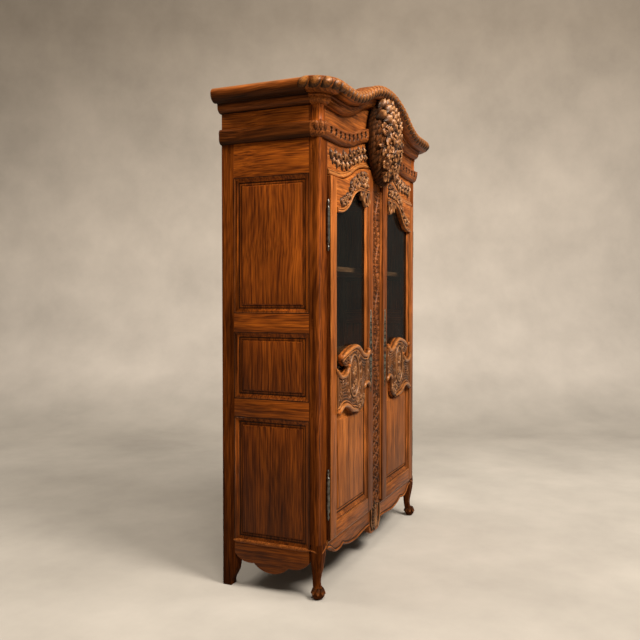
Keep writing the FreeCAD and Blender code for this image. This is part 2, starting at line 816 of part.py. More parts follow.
def bow(start, end, share):
    """An arc from start to end that stands to the left of its chord by a share of the chord."""
    run = end[0] - start[0]
    rise = end[1] - start[1]
    via = ((start[0] + end[0]) / 2 - rise * share, (start[1] + end[1]) / 2 + run * share)
    return [(via, end)]


def middle_rail_outline():
    """Steps of the carved middle rail from the meeting stile along its lower edge and back."""
    def from_meeting(run, height):
        return (-meeting_stile_inner - run, band_bottom + height)

    def from_hinge(run, height):
        return (-hinge_stile_inner + run, band_bottom + height)

    start = from_meeting(0, -curl_foot_drop)
    curl_end = from_meeting(curl_run, -curl_foot_drop)
    flower = from_meeting(curl_run, -flower_drop)
    low = from_meeting(sight_width * low_share, -low_drop)
    swell = from_meeting(sight_width * swell_share, -swell_drop)
    head = from_hinge(0, hinge_head)
    throat = from_hinge(throat_run, throat_height)
    claw = from_hinge(claw_run, claw_height)
    crest = from_meeting(sight_width * crest_share, crest_height)
    dip = from_meeting(dip_run, dip_height)
    steps = bow(start, curl_end, -curl_bow_share) + lines(flower)
    steps += bow(flower, low, flower_bow_share)
    steps += ogee(low, swell) + ogee(swell, from_hinge(0, -hinge_foot_drop)) + lines(head)
    steps += bow(head, throat, -scoop_bow_share) + bow(throat, claw, claw_bow_share)
    steps += bow(claw, crest, crest_bow_share)
    steps += ogee(crest, dip) + ogee(dip, from_meeting(0, meeting_head))
    return start, steps


def door_tenons(slack):
    """Tenons of the left door's rails at the hinge stile and at the meeting stile."""
    ys = (door_front + door_tenon_setback, door_front + door_tenon_setback + door_tenon_thickness)
    found = {}
    for name, zs in (
            ("bottom", (door_bottom + tenon_shoulder, door_rail_top - tenon_shoulder)),
            ("middle", (band_bottom, band_bottom + band_height)),
            ("top", (sight_low + tenon_shoulder, door_top_low - tenon_shoulder))):
        hinge_side = tenon_x(-hinge_stile_inner, -hinge_stile_inner - door_tenon_length, ys, zs, slack)
        top = door_top_high - tenon_shoulder if name == "top" else zs[1]
        bottom = sight_high + tenon_shoulder if name == "top" else zs[0]
        meeting = tenon_x(-meeting_stile_inner, -meeting_stile_inner + door_tenon_length, ys,
                          (bottom, top), slack)
        found[name] = [hinge_side, meeting]
    return found


def door_rebates():
    """Space behind the sight openings of the left door, for the glass and the panel."""
    edge = rebate_width
    xs = (-hinge_stile_inner - edge, -meeting_stile_inner + edge)
    ys = (0, door_back + overrun)
    return [box(xs, ys, (door_rail_top - edge, band_bottom)),
            box(xs, ys, (band_bottom + band_height, glass_top + rebate_clearance))]


def door_frame(name):
    """Frame of the left door."""
    ys = (door_front, door_back)
    mortises = [piece for pair in door_tenons(fit_clearance).values() for piece in pair]
    tenons = door_tenons(0)
    rebates = door_rebates()
    keyhole = keyhole_cut()
    leaves = [hinge_leaf_door(bottom, leaf_clearance) for bottom in hinge_bottoms]

    hinge_stile = box((-door_hinge_edge, -hinge_stile_inner), ys, (door_bottom, door_top_low))
    nodes[name + "hinge_stile"] = [hinge_stile.cut(mortises + rebates + leaves)]

    meeting_stile = prism_y(
        (-meeting_stile_inner, door_bottom),
        lines((-door_meeting_edge, door_bottom), (-door_meeting_edge, door_top_high))
        + door_top_join(-meeting_stile_inner), ys)
    nodes[name + "meeting_stile"] = [meeting_stile.cut(mortises + rebates + [keyhole])]

    bottom_rail = box((-hinge_stile_inner, -meeting_stile_inner), ys, (door_bottom, door_rail_top))
    nodes[name + "bottom_rail"] = [joined([bottom_rail] + tenons["bottom"]).cut(rebates)]

    start, steps = middle_rail_outline()
    plate = prism_y(start, steps, (door_front, 0))
    band = box((-hinge_stile_inner, -meeting_stile_inner), (door_front, door_back),
               (band_bottom, band_bottom + band_height))
    middle_rail = joined([plate, band] + tenons["middle"]).cut(rebates)
    nodes[name + "middle_rail"] = [middle_rail]

    sight_outer = (door_x(sight_outer_share), sight_low)
    sight_inner = (door_x(sight_inner_share), sight_high)
    top_rail = prism_y(
        (-hinge_stile_inner, sight_low),
        [(sight_outer,)] + ogee(sight_outer, sight_inner) + [((-meeting_stile_inner, sight_high),)]
        + door_top_back(), ys)
    nodes[name + "top_rail"] = [joined([top_rail] + tenons["top"]).cut(rebates)]
    return middle_rail, nodes[name + "top_rail"][0]


def door_top_join(x_end):
    """Top edge from the meeting edge back to x_end, which may lie on the arch's level crown."""
    inner = -arch_inner
    if x_end >= inner:
        return lines((x_end, door_top_high))
    return lines((inner, door_top_high)) + arch_part(x_end)


def arch_part(x_end):
    """Part of the door's arch from its crown down to x_end, on the arc beside the crown."""
    run = arch_outer - arch_inner
    turn = 2 * math.atan2(door_arch_rise, run)
    radius = run / 2 / math.sin(turn)

    def on_arc(x):
        across = -arch_inner - x
        return (x, door_top_high - radius + math.sqrt(radius ** 2 - across ** 2))

    return [(on_arc((x_end - arch_inner) / 2), on_arc(x_end))]


def door_top_back():
    """Top edge of the top rail from the meeting stile to the hinge stile."""
    outer = (-arch_outer, door_top_low)
    middle = ((-arch_outer - arch_inner) / 2, (door_top_low + door_top_high) / 2)
    lower_half = ogee((-arch_inner, door_top_high), outer)[1]
    start = arch_part(-meeting_stile_inner)[0][1]
    between = arch_part((start[0] + middle[0]) / 2)[0][1]
    return lines(start) + [(between, middle), lower_half, ((-hinge_stile_inner, door_top_low),)]


def door_filling(name, middle_rail, top_rail):
    """Glass, panel, mouldings and beads of the left door."""
    edge = rebate_width - rebate_clearance
    xs = (-hinge_stile_inner - edge, -meeting_stile_inner + edge)
    glass_bottom = band_bottom + band_height
    nodes[name + "glass"] = [box(xs, (0, glass_thickness), (glass_bottom, glass_top))]

    board = box(xs, (0, door_panel_thickness), (door_rail_top - edge, band_bottom))
    inset = door_moulding_width + door_field_margin
    field = box((-hinge_stile_inner + inset, -meeting_stile_inner - inset), (-door_field_rise, 0),
                (door_rail_top + inset, door_field_top))
    field = field.makeChamfer(field_bevel, field_front_edges(field))
    nodes[name + "panel"] = [joined([board, field])]

    nodes[name + "mouldings"] = door_mouldings(middle_rail, top_rail)

    beads = []
    for back, bottom, top in (
            (glass_thickness, glass_bottom, glass_top), (door_panel_thickness, door_rail_top - edge,
                                                         band_bottom)):
        ys = (back, min(back + bead_thickness, door_back))
        for x, way in ((-hinge_stile_inner, -rebate_width), (-meeting_stile_inner, rebate_width)):
            beads.append(box((x, x + way), ys, (bottom, top)))
        for z, way in ((bottom, rebate_width), (top, -rebate_width)):
            beads.append(box((-hinge_stile_inner, -meeting_stile_inner), ys, (z, z + way)))
    nodes[name + "beads"] = beads


def field_front_edges(field):
    return [edge for edge in field.Edges if edge.BoundBox.YMax < -door_field_rise / 2]


def door_mouldings(middle_rail, top_rail):
    """Strips along the stiles and the bottom rail, fitted to the shaped rails."""
    outward = Vector(0, -1, 0)
    wide = door_moulding_width
    tall = door_moulding_height
    hinge_x_edge = -hinge_stile_inner
    meeting_x_edge = -meeting_stile_inner
    middle = band_bottom + band_height / 2
    right = Vector(1, 0, 0)
    left = Vector(-1, 0, 0)
    up = Vector(0, 0, 1)
    strips = []
    for bottom, top, mitre in ((door_rail_top, middle, 1), (middle, sight_high + tenon_shoulder, 0)):
        for x, inward in ((hinge_x_edge, right), (meeting_x_edge, left)):
            strips.append(mitred_strip(Vector(x, 0, bottom), Vector(x, 0, top), inward, outward, wide, tall,
                                       moulding_shares, (mitre, 0)))
    strips.append(mitred_strip(Vector(hinge_x_edge, 0, door_rail_top),
                               Vector(meeting_x_edge, 0, door_rail_top), up, outward, wide, tall,
                               moulding_shares))
    fitted = []
    for strip in strips:
        pieces = strip.cut([middle_rail, top_rail]).Solids
        fitted.append(max(pieces, key=lambda solid: solid.Volume))
    return fitted


def keyhole_cut():
    """Keyhole through the escutcheon, the meeting stile and the lock case of the left door."""
    deep = door_thickness + lock_depth + 2 * overrun
    mouth = Vector(-escutcheon_x, door_front - overrun, keyhole_height)
    hole = Part.makeCylinder(keyhole_radius, deep, mouth, Vector(0, 1, 0))
    half = keyhole_slot_width / 2
    slot = box((-escutcheon_x - half, -escutcheon_x + half), (door_front - overrun, door_front + deep),
               (keyhole_height - keyhole_slot_height, keyhole_height))
    return joined([hole, slot])


bolt_y = (door_back + bolt_wall, door_back + bolt_wall + bolt_thickness)
bolt_z = (keyhole_height + keyhole_radius, keyhole_height + keyhole_radius + bolt_height)
bolt_tip = -(door_meeting_edge + bolt_setback)


def bolt_mortise():
    """Pocket in the left edge of the middle post for the bolt at the end of its travel."""
    reach = bolt_tip + bolt_travel + keep_clearance
    slack = keep_clearance
    return box((-muntin_half - overrun, reach), (bolt_y[0] - slack, bolt_y[1] + slack),
               (bolt_z[0] - slack, bolt_z[1] + slack))


def keep_plate():
    """Plate let into the left edge of the middle post round the bolt's pocket."""
    return box((-muntin_half, -muntin_half + keep_thickness), (bolt_y[0] - keep_border, muntin_thickness),
               (bolt_z[0] - keep_border, bolt_z[1] + keep_border))


def door_lock(name):
    """Escutcheon, lock case and bolt of the left door."""
    half = escutcheon_width / 2
    plate = box((-escutcheon_x - half, -escutcheon_x + half),
                (door_front - escutcheon_thickness, door_front),
                (escutcheon_bottom, escutcheon_bottom + escutcheon_height))
    nodes[name + "escutcheon"] = [plate.cut(keyhole_cut())]

    edge = -(door_meeting_edge + lock_edge)
    case = box((edge - lock_width, edge), (door_back, door_back + lock_depth),
               (keyhole_height - lock_height / 2, keyhole_height + lock_height / 2))
    slack = bolt_clearance
    channel = box((bolt_tip - bolt_length - slack, edge + overrun), (bolt_y[0] - slack, bolt_y[1] + slack),
                  (bolt_z[0] - slack, bolt_z[1] + slack))
    nodes[name + "lock_case"] = [case.cut([channel, keyhole_cut()])]
    nodes[name + "lock_bolt"] = [box((bolt_tip - bolt_length, bolt_tip), bolt_y, bolt_z)]


def finial(z, way):
    """A turned finial on the hinge's axis, pointing up or down."""
    neck = hinge_radius * finial_neck_share
    ball = hinge_radius * finial_ball_share
    tall = finial_height * way
    steps = lines((hinge_radius, 0)) + [((neck, tall / 4), (ball, tall / 2))]
    steps += [((ball, tall * finial_ball_share), (neck / 2, tall))]
    steps += lines((0, tall))
    wire = trace(lambda out, up: Vector(out, 0, up), (0, 0), steps)
    turned = Part.Face(wire).revolve(Vector(0, 0, 0), Vector(0, 0, 1), 360)
    turned.translate(Vector(-hinge_x, hinge_y, z))
    return turned


def hinge_halves(bottom):
    """Lower half with its pin, and upper half, of one hinge of the left door."""
    low = bottom + finial_height
    middle = bottom + hinge_height / 2
    high = bottom + hinge_height - finial_height
    lower = Part.makeCylinder(hinge_radius, middle - low, Vector(-hinge_x, hinge_y, low))
    pin = Part.makeCylinder(pin_radius, pin_length, Vector(-hinge_x, hinge_y, middle))
    lower = joined([lower, finial(low, -1), hinge_leaf_post(bottom, 0), pin])
    start = middle + knuckle_gap
    upper = Part.makeCylinder(hinge_radius, high - start, Vector(-hinge_x, hinge_y, start))
    bore = Part.makeCylinder(pin_radius + pin_clearance, pin_length + knuckle_gap,
                             Vector(-hinge_x, hinge_y, middle))
    upper = joined([upper, finial(high, 1), hinge_leaf_door(bottom, 0)]).cut(bore)
    return lower, upper


def make_doors():
    name = "left_door_"
    middle_rail, top_rail = door_frame(name)
    door_filling(name, middle_rail, top_rail)
    door_lock(name)
    halves = [hinge_halves(bottom) for bottom in hinge_bottoms]
    nodes[name + "hinge_halves"] = [upper for _, upper in halves]
    for key in [key for key in nodes if key.startswith(name)]:
        nodes[key.replace("left_", "right_", 1)] = [mirrored(shape) for shape in nodes[key]]
    nodes["hinge_post_halves"] = both([lower for lower, _ in halves])
    nodes["lock_keeps"] = both([keep_plate().cut(bolt_mortise())])


def export():
    """Centre the cabinet over the origin from front to back, and write one file for each node."""
    front_reach = max(cartouche_depth, crown_overhang)
    shift = Vector(0, (front_reach - case_depth) / 2, 0)
    os.makedirs("parts", exist_ok=True)
    for name, shapes in nodes.items():
        shape = shapes[0] if len(shapes) == 1 else Part.makeCompound(shapes)
        shape.translated(shift).exportStep("parts/" + name + ".step")
    print(len(nodes), "nodes, shifted along y by", shift.y)


make_posts()
make_side_rails()
make_side_panels()
make_front_frame()
make_back()
make_inside()
make_cornice()
make_cartouche()
make_doors()
export()
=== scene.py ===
"""Looks of the carved walnut armoire: carving, finishes, ironwork, glass, camera and light.

Shapes are worked out in millimetres, in the frame's axes, and turned to metres where a mesh is made.
"""
import json
import math

import bmesh
import bpy
import numpy as np
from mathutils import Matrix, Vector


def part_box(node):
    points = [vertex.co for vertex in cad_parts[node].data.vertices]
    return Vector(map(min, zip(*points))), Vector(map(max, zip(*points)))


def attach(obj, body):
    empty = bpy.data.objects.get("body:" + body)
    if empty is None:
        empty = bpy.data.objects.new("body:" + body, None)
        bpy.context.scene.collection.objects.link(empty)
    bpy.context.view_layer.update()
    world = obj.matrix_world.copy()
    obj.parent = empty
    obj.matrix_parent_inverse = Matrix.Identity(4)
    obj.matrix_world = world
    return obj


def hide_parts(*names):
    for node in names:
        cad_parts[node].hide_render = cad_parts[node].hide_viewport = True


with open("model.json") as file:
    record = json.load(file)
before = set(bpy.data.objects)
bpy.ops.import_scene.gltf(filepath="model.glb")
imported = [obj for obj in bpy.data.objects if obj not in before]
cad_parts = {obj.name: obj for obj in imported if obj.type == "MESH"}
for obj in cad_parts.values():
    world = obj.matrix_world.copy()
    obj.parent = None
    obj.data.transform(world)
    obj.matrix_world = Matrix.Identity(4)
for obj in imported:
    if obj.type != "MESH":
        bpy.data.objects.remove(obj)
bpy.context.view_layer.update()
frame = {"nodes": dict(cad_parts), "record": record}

MM = 0.001
SIDES = ((-1, "left"), (1, "right"))
rng = np.random.default_rng(7)


def span(node):
    """Lowest and highest corner of a node, in millimetres."""
    low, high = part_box(node)
    return np.array(low) / MM, np.array(high) / MM


# Places read from the frame
post_face = span("front_top_rail")[0][1]
case_top = span("front_left_post")[1][2]
half_width = -span("cornice_side_friezes")[0][0]
post_inner = -span("front_left_post")[1][0]
door_face = span("left_door_bottom_rail")[0][1]
hinge_inner = -span("left_door_hinge_stile")[1][0]
meeting_inner = -span("left_door_meeting_stile")[0][0]
door_top_low = span("left_door_hinge_stile")[1][2]
door_top_high = span("left_door_meeting_stile")[1][2]
sight_width = hinge_inner - meeting_inner
muntin_half = span("centre_muntin")[1][0]
apron_foot = span("front_bottom_rail")[0][2]
muntin_foot = span("front_bottom_rail")[1][2]
frieze_end = span("cornice_front_frieze")[1][0]

# The arches of the doors, the glass and the cornice, as the joinery has them
door_arch_shares = (0.855, 0.204)
sight_arch_shares = (0.94, 0.25)
sight_low = door_top_low - 155.0
sight_high = door_top_low - 24.0
door_gap = 2.5
corner_round = 39.0
cornice_arch_share = 0.83
architrave_rise = 92.0
architrave_height = 68.0
architrave_overhang = 24.0
crown_height = 101.0
crown_overhang = 95.0
crown_rise = 129.0
crown_bottom = case_top + 140.0
band_bottom = 925.0
panel_setback = 12.0
moulding_width = 20.0
field_margin = 15.0
door_moulding_width = 24.0
door_field_margin = 17.0
door_field_top = band_bottom - 151.0
door_arch = (post_inner * door_arch_shares[0], post_inner * door_arch_shares[1])
sight_arch = tuple(meeting_inner + sight_width * share for share in sight_arch_shares)
cornice_run = frieze_end * cornice_arch_share


# Curves

def ogee(x, outer, inner, low, high):
    """Height at x of two equal arcs that rise from low at outer to high at inner."""
    run = outer - inner
    radius = run / 2 / math.sin(2 * math.atan2(high - low, run))
    x = np.clip(np.abs(x), inner, outer)
    lower = low + radius - np.sqrt(np.maximum(radius ** 2 - (outer - x) ** 2, 0))
    upper = high - radius + np.sqrt(np.maximum(radius ** 2 - (x - inner) ** 2, 0))
    return np.where(x > (outer + inner) / 2, lower, upper)


def door_top(x):
    """Height of a door's arched top."""
    return ogee(x, *door_arch, door_top_low, door_top_high)


def sight_top(x):
    """Height of the arch over a door's glass."""
    return ogee(x, *sight_arch, sight_low, sight_high)


def rail_top(x):
    """Height of the arched joint between the front's top rail and the architrave."""
    return ogee(x, cornice_run, 0, case_top, case_top + architrave_rise)


def unit(ways):
    """Ways of length one."""
    return ways / np.linalg.norm(ways, axis=-1, keepdims=True)


def round_turn(count):
    """Angles once round a circle."""
    return np.linspace(0, 2 * math.pi, count, endpoint=False)


def ray(angle):
    """Way across a plane at an angle, or ways at several."""
    return np.stack([np.cos(angle), np.sin(angle)], -1)


def dome(share):
    """Height of a round top at a share of its half width."""
    return np.sqrt(np.clip(1 - share ** 2, 0, 1))


def arc(start, end, bow, count=14):
    """Points of an arc from start to end that stands to the left of its chord by bow times the chord."""
    start, end = np.array(start, float), np.array(end, float)
    chord = end - start
    left = np.array([-chord[1], chord[0]])
    if bow == 0:
        return start + np.linspace(0, 1, count)[:, None] * chord
    half_turn = 2 * math.atan(2 * abs(bow))
    angles = np.linspace(-half_turn, half_turn, count)
    across = np.sin(angles) / math.sin(half_turn) / 2 + 0.5
    lift = (np.cos(angles) - math.cos(half_turn)) / (1 - math.cos(half_turn)) * bow
    return start + across[:, None] * chord + lift[:, None] * left


def rise_between(start, end, count=20):
    """Points of an ogee from start to end, level at both."""
    t = np.linspace(0, 1, count)
    run = abs(end[0] - start[0])
    up = ogee(run * (1 - t), run, 0, 0, abs(end[1] - start[1]))
    return np.stack([start[0] + (end[0] - start[0]) * t, start[1] + up * np.sign(end[1] - start[1])], 1)


def section_arc(start, via, end, count):
    """Points of the arc from start through via to end."""
    start, via, end = (np.array(p, float) for p in (start, via, end))
    a, b = via - start, end - start
    across = 2 * (a[0] * b[1] - a[1] * b[0])
    centre = start + np.array([b[1] * (a @ a) - a[1] * (b @ b), a[0] * (b @ b) - b[0] * (a @ a)]) / across
    first = math.atan2(*(start - centre)[::-1])
    turn = (math.atan2(*(end - centre)[::-1]) - first + math.pi) % (2 * math.pi) - math.pi
    angles = first + np.linspace(0, turn, count)
    return centre + np.linalg.norm(start - centre) * ray(angles)


def inset(path, by):
    """The path moved to its left by a distance."""
    ahead = unit(np.gradient(path, axis=0))
    return path + by * np.stack([-ahead[:, 1], ahead[:, 0]], 1)


def front_frames(path):
    """Ways out of a front face, and up from a path in it, at each of the path's (x, z) points."""
    ahead = unit(np.gradient(np.asarray(path, float), axis=0))
    up = np.stack([-ahead[:, 1], np.zeros(len(ahead)), ahead[:, 0]], 1)
    return np.tile([0.0, -1.0, 0.0], (len(ahead), 1)), up


# Materials

def linear(colour):
    """Linear red, green and blue of an sRGB hex value."""
    channels = [int(colour[i:i + 2], 16) / 255 for i in (1, 3, 5)]
    return [c / 12.92 if c <= 0.04045 else ((c + 0.055) / 1.055) ** 2.4 for c in channels] + [1.0]


def add(tree, kind, inputs=None, settings=None, stops=()):
    """Adds a node with its inputs, settings and colour stops. An input is a value, or an output to link."""
    node = tree.nodes.new(kind)
    for key, value in (settings or {}).items():
        setattr(node, key, value)
    for index, (place, colour) in enumerate(stops):
        element = node.color_ramp.elements[index] if index < 2 else node.color_ramp.elements.new(place)
        element.position = place
        element.color = linear(colour) if isinstance(colour, str) else (colour, colour, colour, 1)
    for key, value in (inputs or {}).items():
        if isinstance(value, bpy.types.NodeSocket):
            tree.links.new(value, node.inputs[key])
        else:
            node.inputs[key].default_value = value
    return node


def new_material(name):
    """A material with its node tree, its shader and a place on the object."""
    material = bpy.data.materials.new(name)
    material.use_nodes = True
    tree = material.node_tree
    return material, tree, tree.nodes["Principled BSDF"], add(tree, "ShaderNodeTexCoord").outputs["Object"]


def finished(tree, shader, linked, **values):
    """Links the shader's sockets that vary over the surface, and sets those that are the same all over."""
    for key, output in linked.items():
        tree.links.new(output, shader.inputs[key])
    for key, value in values.items():
        shader.inputs[key.replace("_", " ")].default_value = value


def per_metre(size):
    """How often a pattern of a size in millimetres comes in a metre."""
    return 1 / (size * MM)


# Settings of the Mix node, its numbered inputs for two numbers or two colours, and its colour output
shaded = {"data_type": "RGBA", "blend_type": "MULTIPLY"}
blended = {"data_type": "RGBA", "blend_type": "MIX"}
averaged = {"data_type": "FLOAT"}
SHARE, LESS, MORE, UNDER, OVER, COLOUR = 0, 2, 3, 6, 7, 2

# Sizes of the walnut's grain in millimetres, and how far it is drawn out along the plank
sway_size = 450.0
sway_reach = 35.0
streak_size = 6.7
band_size = 33.0
pore_size = 3.2
plank_size = 182.0
knot_gap = 217.0
tone_size = 312.0
fibre_stretch = 0.03
plank_stretch = 0.13
ring_share = 0.022

# Shares at which painted shade by height, tone, pores, knots and painted shade in hollows darken the walnut
tone_stops = [(0.3, 0.62), (0.7, 1.16)]
pore_stops = [(0.38, 0.46), (0.52, 1.06)]
knot_stops = [(0.05, 0.3), (0.13, 1.0)]
# Painted shade by height: darker towards the floor, and a little darker again under the cornice
height_shade_stops = [(0.0, 0.3), (0.14, 0.44), (0.32, 0.68), (0.55, 1.0), (0.8, 1.04), (0.95, 0.9)]
# Painted shade in hollows, with old wax: the higher a point's hollow, the darker it is painted
hollow_stops = [(0.1, 1.1), (0.42, 0.5), (0.85, 0.08)]
full_height = 2.4
wax_tint = "#e4c09e"
rubbed_highlight_tint = "#c08a55"


def grain(tree, place, along):
    """Streaks, fine figure, pores and knots of walnut that is sawn along one axis."""
    sway = add(tree, "ShaderNodeTexNoise", {"Vector": place, "Scale": per_metre(sway_size), "Detail": 1.0})
    bent = add(tree, "ShaderNodeVectorMath", {0: sway.outputs["Color"], 1: [sway_reach * MM] * 3, 2: place},
               {"operation": "MULTIPLY_ADD"}).outputs[0]
    stretched = []
    for stretch in (fibre_stretch, plank_stretch):
        scale = [stretch if axis == along else 1.0 for axis in "XYZ"]
        stretched.append(add(tree, "ShaderNodeMapping", {"Vector": bent, "Scale": scale}).outputs["Vector"])
    fibre, plank = stretched
    figure, band, pores, rings = (
        add(tree, "ShaderNodeTexNoise",
            {"Vector": way, "Scale": per_metre(size), "Detail": detail, "Roughness": rough}).outputs["Fac"]
        for way, size, detail, rough in ((fibre, streak_size, 5.0, 0.6), (fibre, band_size, 2.0, 0.5),
                                         (fibre, pore_size, 1.0, 0.5), (plank, plank_size, 1.0, 0.3)))
    folded = add(tree, "ShaderNodeMath", {0: rings, 1: ring_share}, {"operation": "PINGPONG"}).outputs[0]
    growth = add(tree, "ShaderNodeMapRange",
                 {"Value": folded, "From Max": ring_share, "To Min": 0.34, "To Max": 0.62}).outputs["Result"]
    streak = add(tree, "ShaderNodeMix", {SHARE: 0.3, LESS: figure, MORE: band}, averaged).outputs[0]
    streak = add(tree, "ShaderNodeMix", {SHARE: 0.16, LESS: streak, MORE: growth}, averaged).outputs[0]
    knots = add(tree, "ShaderNodeTexVoronoi", {"Vector": plank, "Scale": per_metre(knot_gap)})
    return streak, figure, pores, knots.outputs["Distance"]


def walnut(name, light, middle, dark, along, carved=0.0, gloss=0.5, height_shade=0.5, shine=0.22):
    """Waxed walnut, sawn along one axis: arched growth lines, fine streaks, pores, few knots, a warm shine.

    It is painted darker towards the floor and under the cornice, as painted shade. Carved walnut is dark
    where its hollow attribute is high, as painted shade with old wax in recesses, and paler by the share
    carved where it is rubbed, as wear with a painted highlight.
    """
    material, tree, shader, place = new_material(name)
    streak, figure, pores, knots = grain(tree, place, along)
    tone = add(tree, "ShaderNodeTexNoise", {"Vector": place, "Scale": per_metre(tone_size), "Detail": 2.0})
    height = add(tree, "ShaderNodeSeparateXYZ", {"Vector": place}).outputs["Z"]
    rise = add(tree, "ShaderNodeMapRange", {"Value": height, "From Max": full_height}).outputs["Result"]
    rough = add(tree, "ShaderNodeMapRange",
                {"Value": figure, "To Min": gloss - 0.05, "To Max": gloss + 0.12}).outputs["Result"]
    layers = [(0.9, tone.outputs["Fac"], tone_stops), (0.7, pores, pore_stops), (0.8, knots, knot_stops),
              (height_shade, rise, height_shade_stops)]
    if carved:
        hollow = add(tree, "ShaderNodeAttribute", settings={"attribute_name": "hollow"}).outputs["Fac"]
        layers.append((1.0, hollow, hollow_stops))
        rough = add(tree, "ShaderNodeMath", {0: hollow, 1: 0.4, 2: rough},
                    {"operation": "MULTIPLY_ADD"}).outputs[0]
    wood_stops = [(0.4, dark), (0.5, middle), (0.6, light)]
    colour = add(tree, "ShaderNodeValToRGB", {"Fac": streak}, stops=wood_stops).outputs["Color"]
    for share, factor, stops in layers:
        shade = add(tree, "ShaderNodeValToRGB", {"Fac": factor}, stops=stops).outputs["Color"]
        mixed = add(tree, "ShaderNodeMix", {SHARE: share, UNDER: colour, OVER: shade}, shaded)
        colour = mixed.outputs[COLOUR]
    # Crests and tips, where the hollow is low, are painted paler: wear, and a painted highlight
    if carved:
        rubbed = add(tree, "ShaderNodeValToRGB", {"Fac": hollow}, stops=[(0.0, carved), (0.15, 0.0)])
        rub = {SHARE: rubbed.outputs["Color"], UNDER: colour, OVER: linear(rubbed_highlight_tint)}
        colour = add(tree, "ShaderNodeMix", rub, blended).outputs[COLOUR]
    bump = add(tree, "ShaderNodeBump", {"Height": streak, "Strength": 0.16, "Distance": 0.001})
    finished(tree, shader, {"Base Color": colour, "Roughness": rough, "Normal": bump.outputs["Normal"]},
             Specular_IOR_Level=shine, Specular_Tint=linear(wax_tint), Coat_Weight=shine * 0.2,
             Coat_Roughness=0.25)
    return material


def aged_steel(name, bright, dull, rough):
    """Wrought steel that has been waxed and handled: grey, with duller blotches and fine scratches."""
    blotch_size, scratch_size = 16.7, 1.4
    material, tree, shader, place = new_material(name)
    blotch, fine = (
        add(tree, "ShaderNodeTexNoise",
            {"Vector": place, "Scale": per_metre(size), "Detail": detail, "Roughness": spread}).outputs["Fac"]
        for size, detail, spread in ((blotch_size, 5.0, 0.65), (scratch_size, 2.0, 0.5)))
    colour = add(tree, "ShaderNodeValToRGB", {"Fac": blotch}, stops=[(0.35, dull), (0.65, bright)])
    spread = add(tree, "ShaderNodeMapRange",
                 {"Value": blotch, "To Min": rough + 0.15, "To Max": rough - 0.08})
    bump = add(tree, "ShaderNodeBump", {"Height": fine, "Strength": 0.15, "Distance": 0.0005})
    finished(tree, shader, {"Base Color": colour.outputs["Color"], "Roughness": spread.outputs["Result"],
                            "Normal": bump.outputs["Normal"]}, Metallic=1.0)
    return material


def old_glass():
    """Drawn window glass: dark and clear, slightly wavy, with soft reflections over the shelves behind it."""
    wave_size = 111.0
    material, tree, shader, place = new_material("drawn_window_glass")
    wave = add(tree, "ShaderNodeTexNoise", {"Vector": place, "Scale": per_metre(wave_size), "Detail": 1.0})
    wave = wave.outputs["Fac"]
    bump = add(tree, "ShaderNodeBump", {"Height": wave, "Strength": 0.06, "Distance": 0.004})
    haze = add(tree, "ShaderNodeMapRange", {"Value": wave, "To Min": 0.02, "To Max": 0.08})
    colour = add(tree, "ShaderNodeValToRGB", {"Fac": wave}, stops=[(0.3, "#14130f"), (0.7, "#1c1b16")])
    finished(tree, shader, {"Base Color": colour.outputs["Color"], "Roughness": haze.outputs["Result"],
                            "Normal": bump.outputs["Normal"]}, Alpha=0.34, IOR=1.46)
    return material


# Light, middle and dark of each walnut's streaks
side_colours = ("#ab5716", "#8b4311", "#57250a")
# A lighter copy of the side rails' walnut for the side frieze: painted light where the crown casts its shadow
frieze_colours = ("#cf7024", "#a9571b", "#6c3410")
rail_colours = ("#bb6119", "#984b13", "#602b0c")
post_colours = ("#874312", "#6b330e", "#421b07")
side_moulding_colours = ("#9c5420", "#824216", "#582a0c")
front_colours = ("#b0642a", "#95501e", "#64310f")
door_panel_colours = ("#b3692f", "#995523", "#683513")
# A darker copy of the front's walnut for the meeting stiles: painted shade
meeting_colours = ("#934d1d", "#793e15", "#4f240a")
# A darker copy of the front's walnut for the front frieze and crown: painted shade under the cornice's
# overhang
dark_front_colours = ("#a25922", "#864719", "#592b0d")
door_edge_colours = ("#723910", "#5a290b", "#371706")
carved_colours = ("#8b5730", "#704222", "#492912")
shade_colours = ("#7d4a26", "#64391b", "#40220e")
red_colours = ("#925326", "#793f18", "#50260d")
lobe_colours = ("#a4652d", "#8b5121", "#603411")
bead_colours = ("#aa6529", "#93521d", "#693711")
worn_colours = ("#bd7737", "#a76227", "#7b4118")
worn_side_colours = ("#a75a1e", "#8d4815", "#5f2b0c")
# Lighter than the other inside boards: painted light on the shelves behind the glass
shelf_colours = ("#a98259", "#926b46", "#6e4d2f")
# Dark joints, and painted shade on moulding faces that turn in, in panel corners and above the apron's edge
grime_and_shade_colours = ("#4a2410", "#3a1b0b", "#241006")
inside_colours = ("#6d4c30", "#573a24", "#3c2716")
back_colours = ("#7a5636", "#624228", "#452c19")

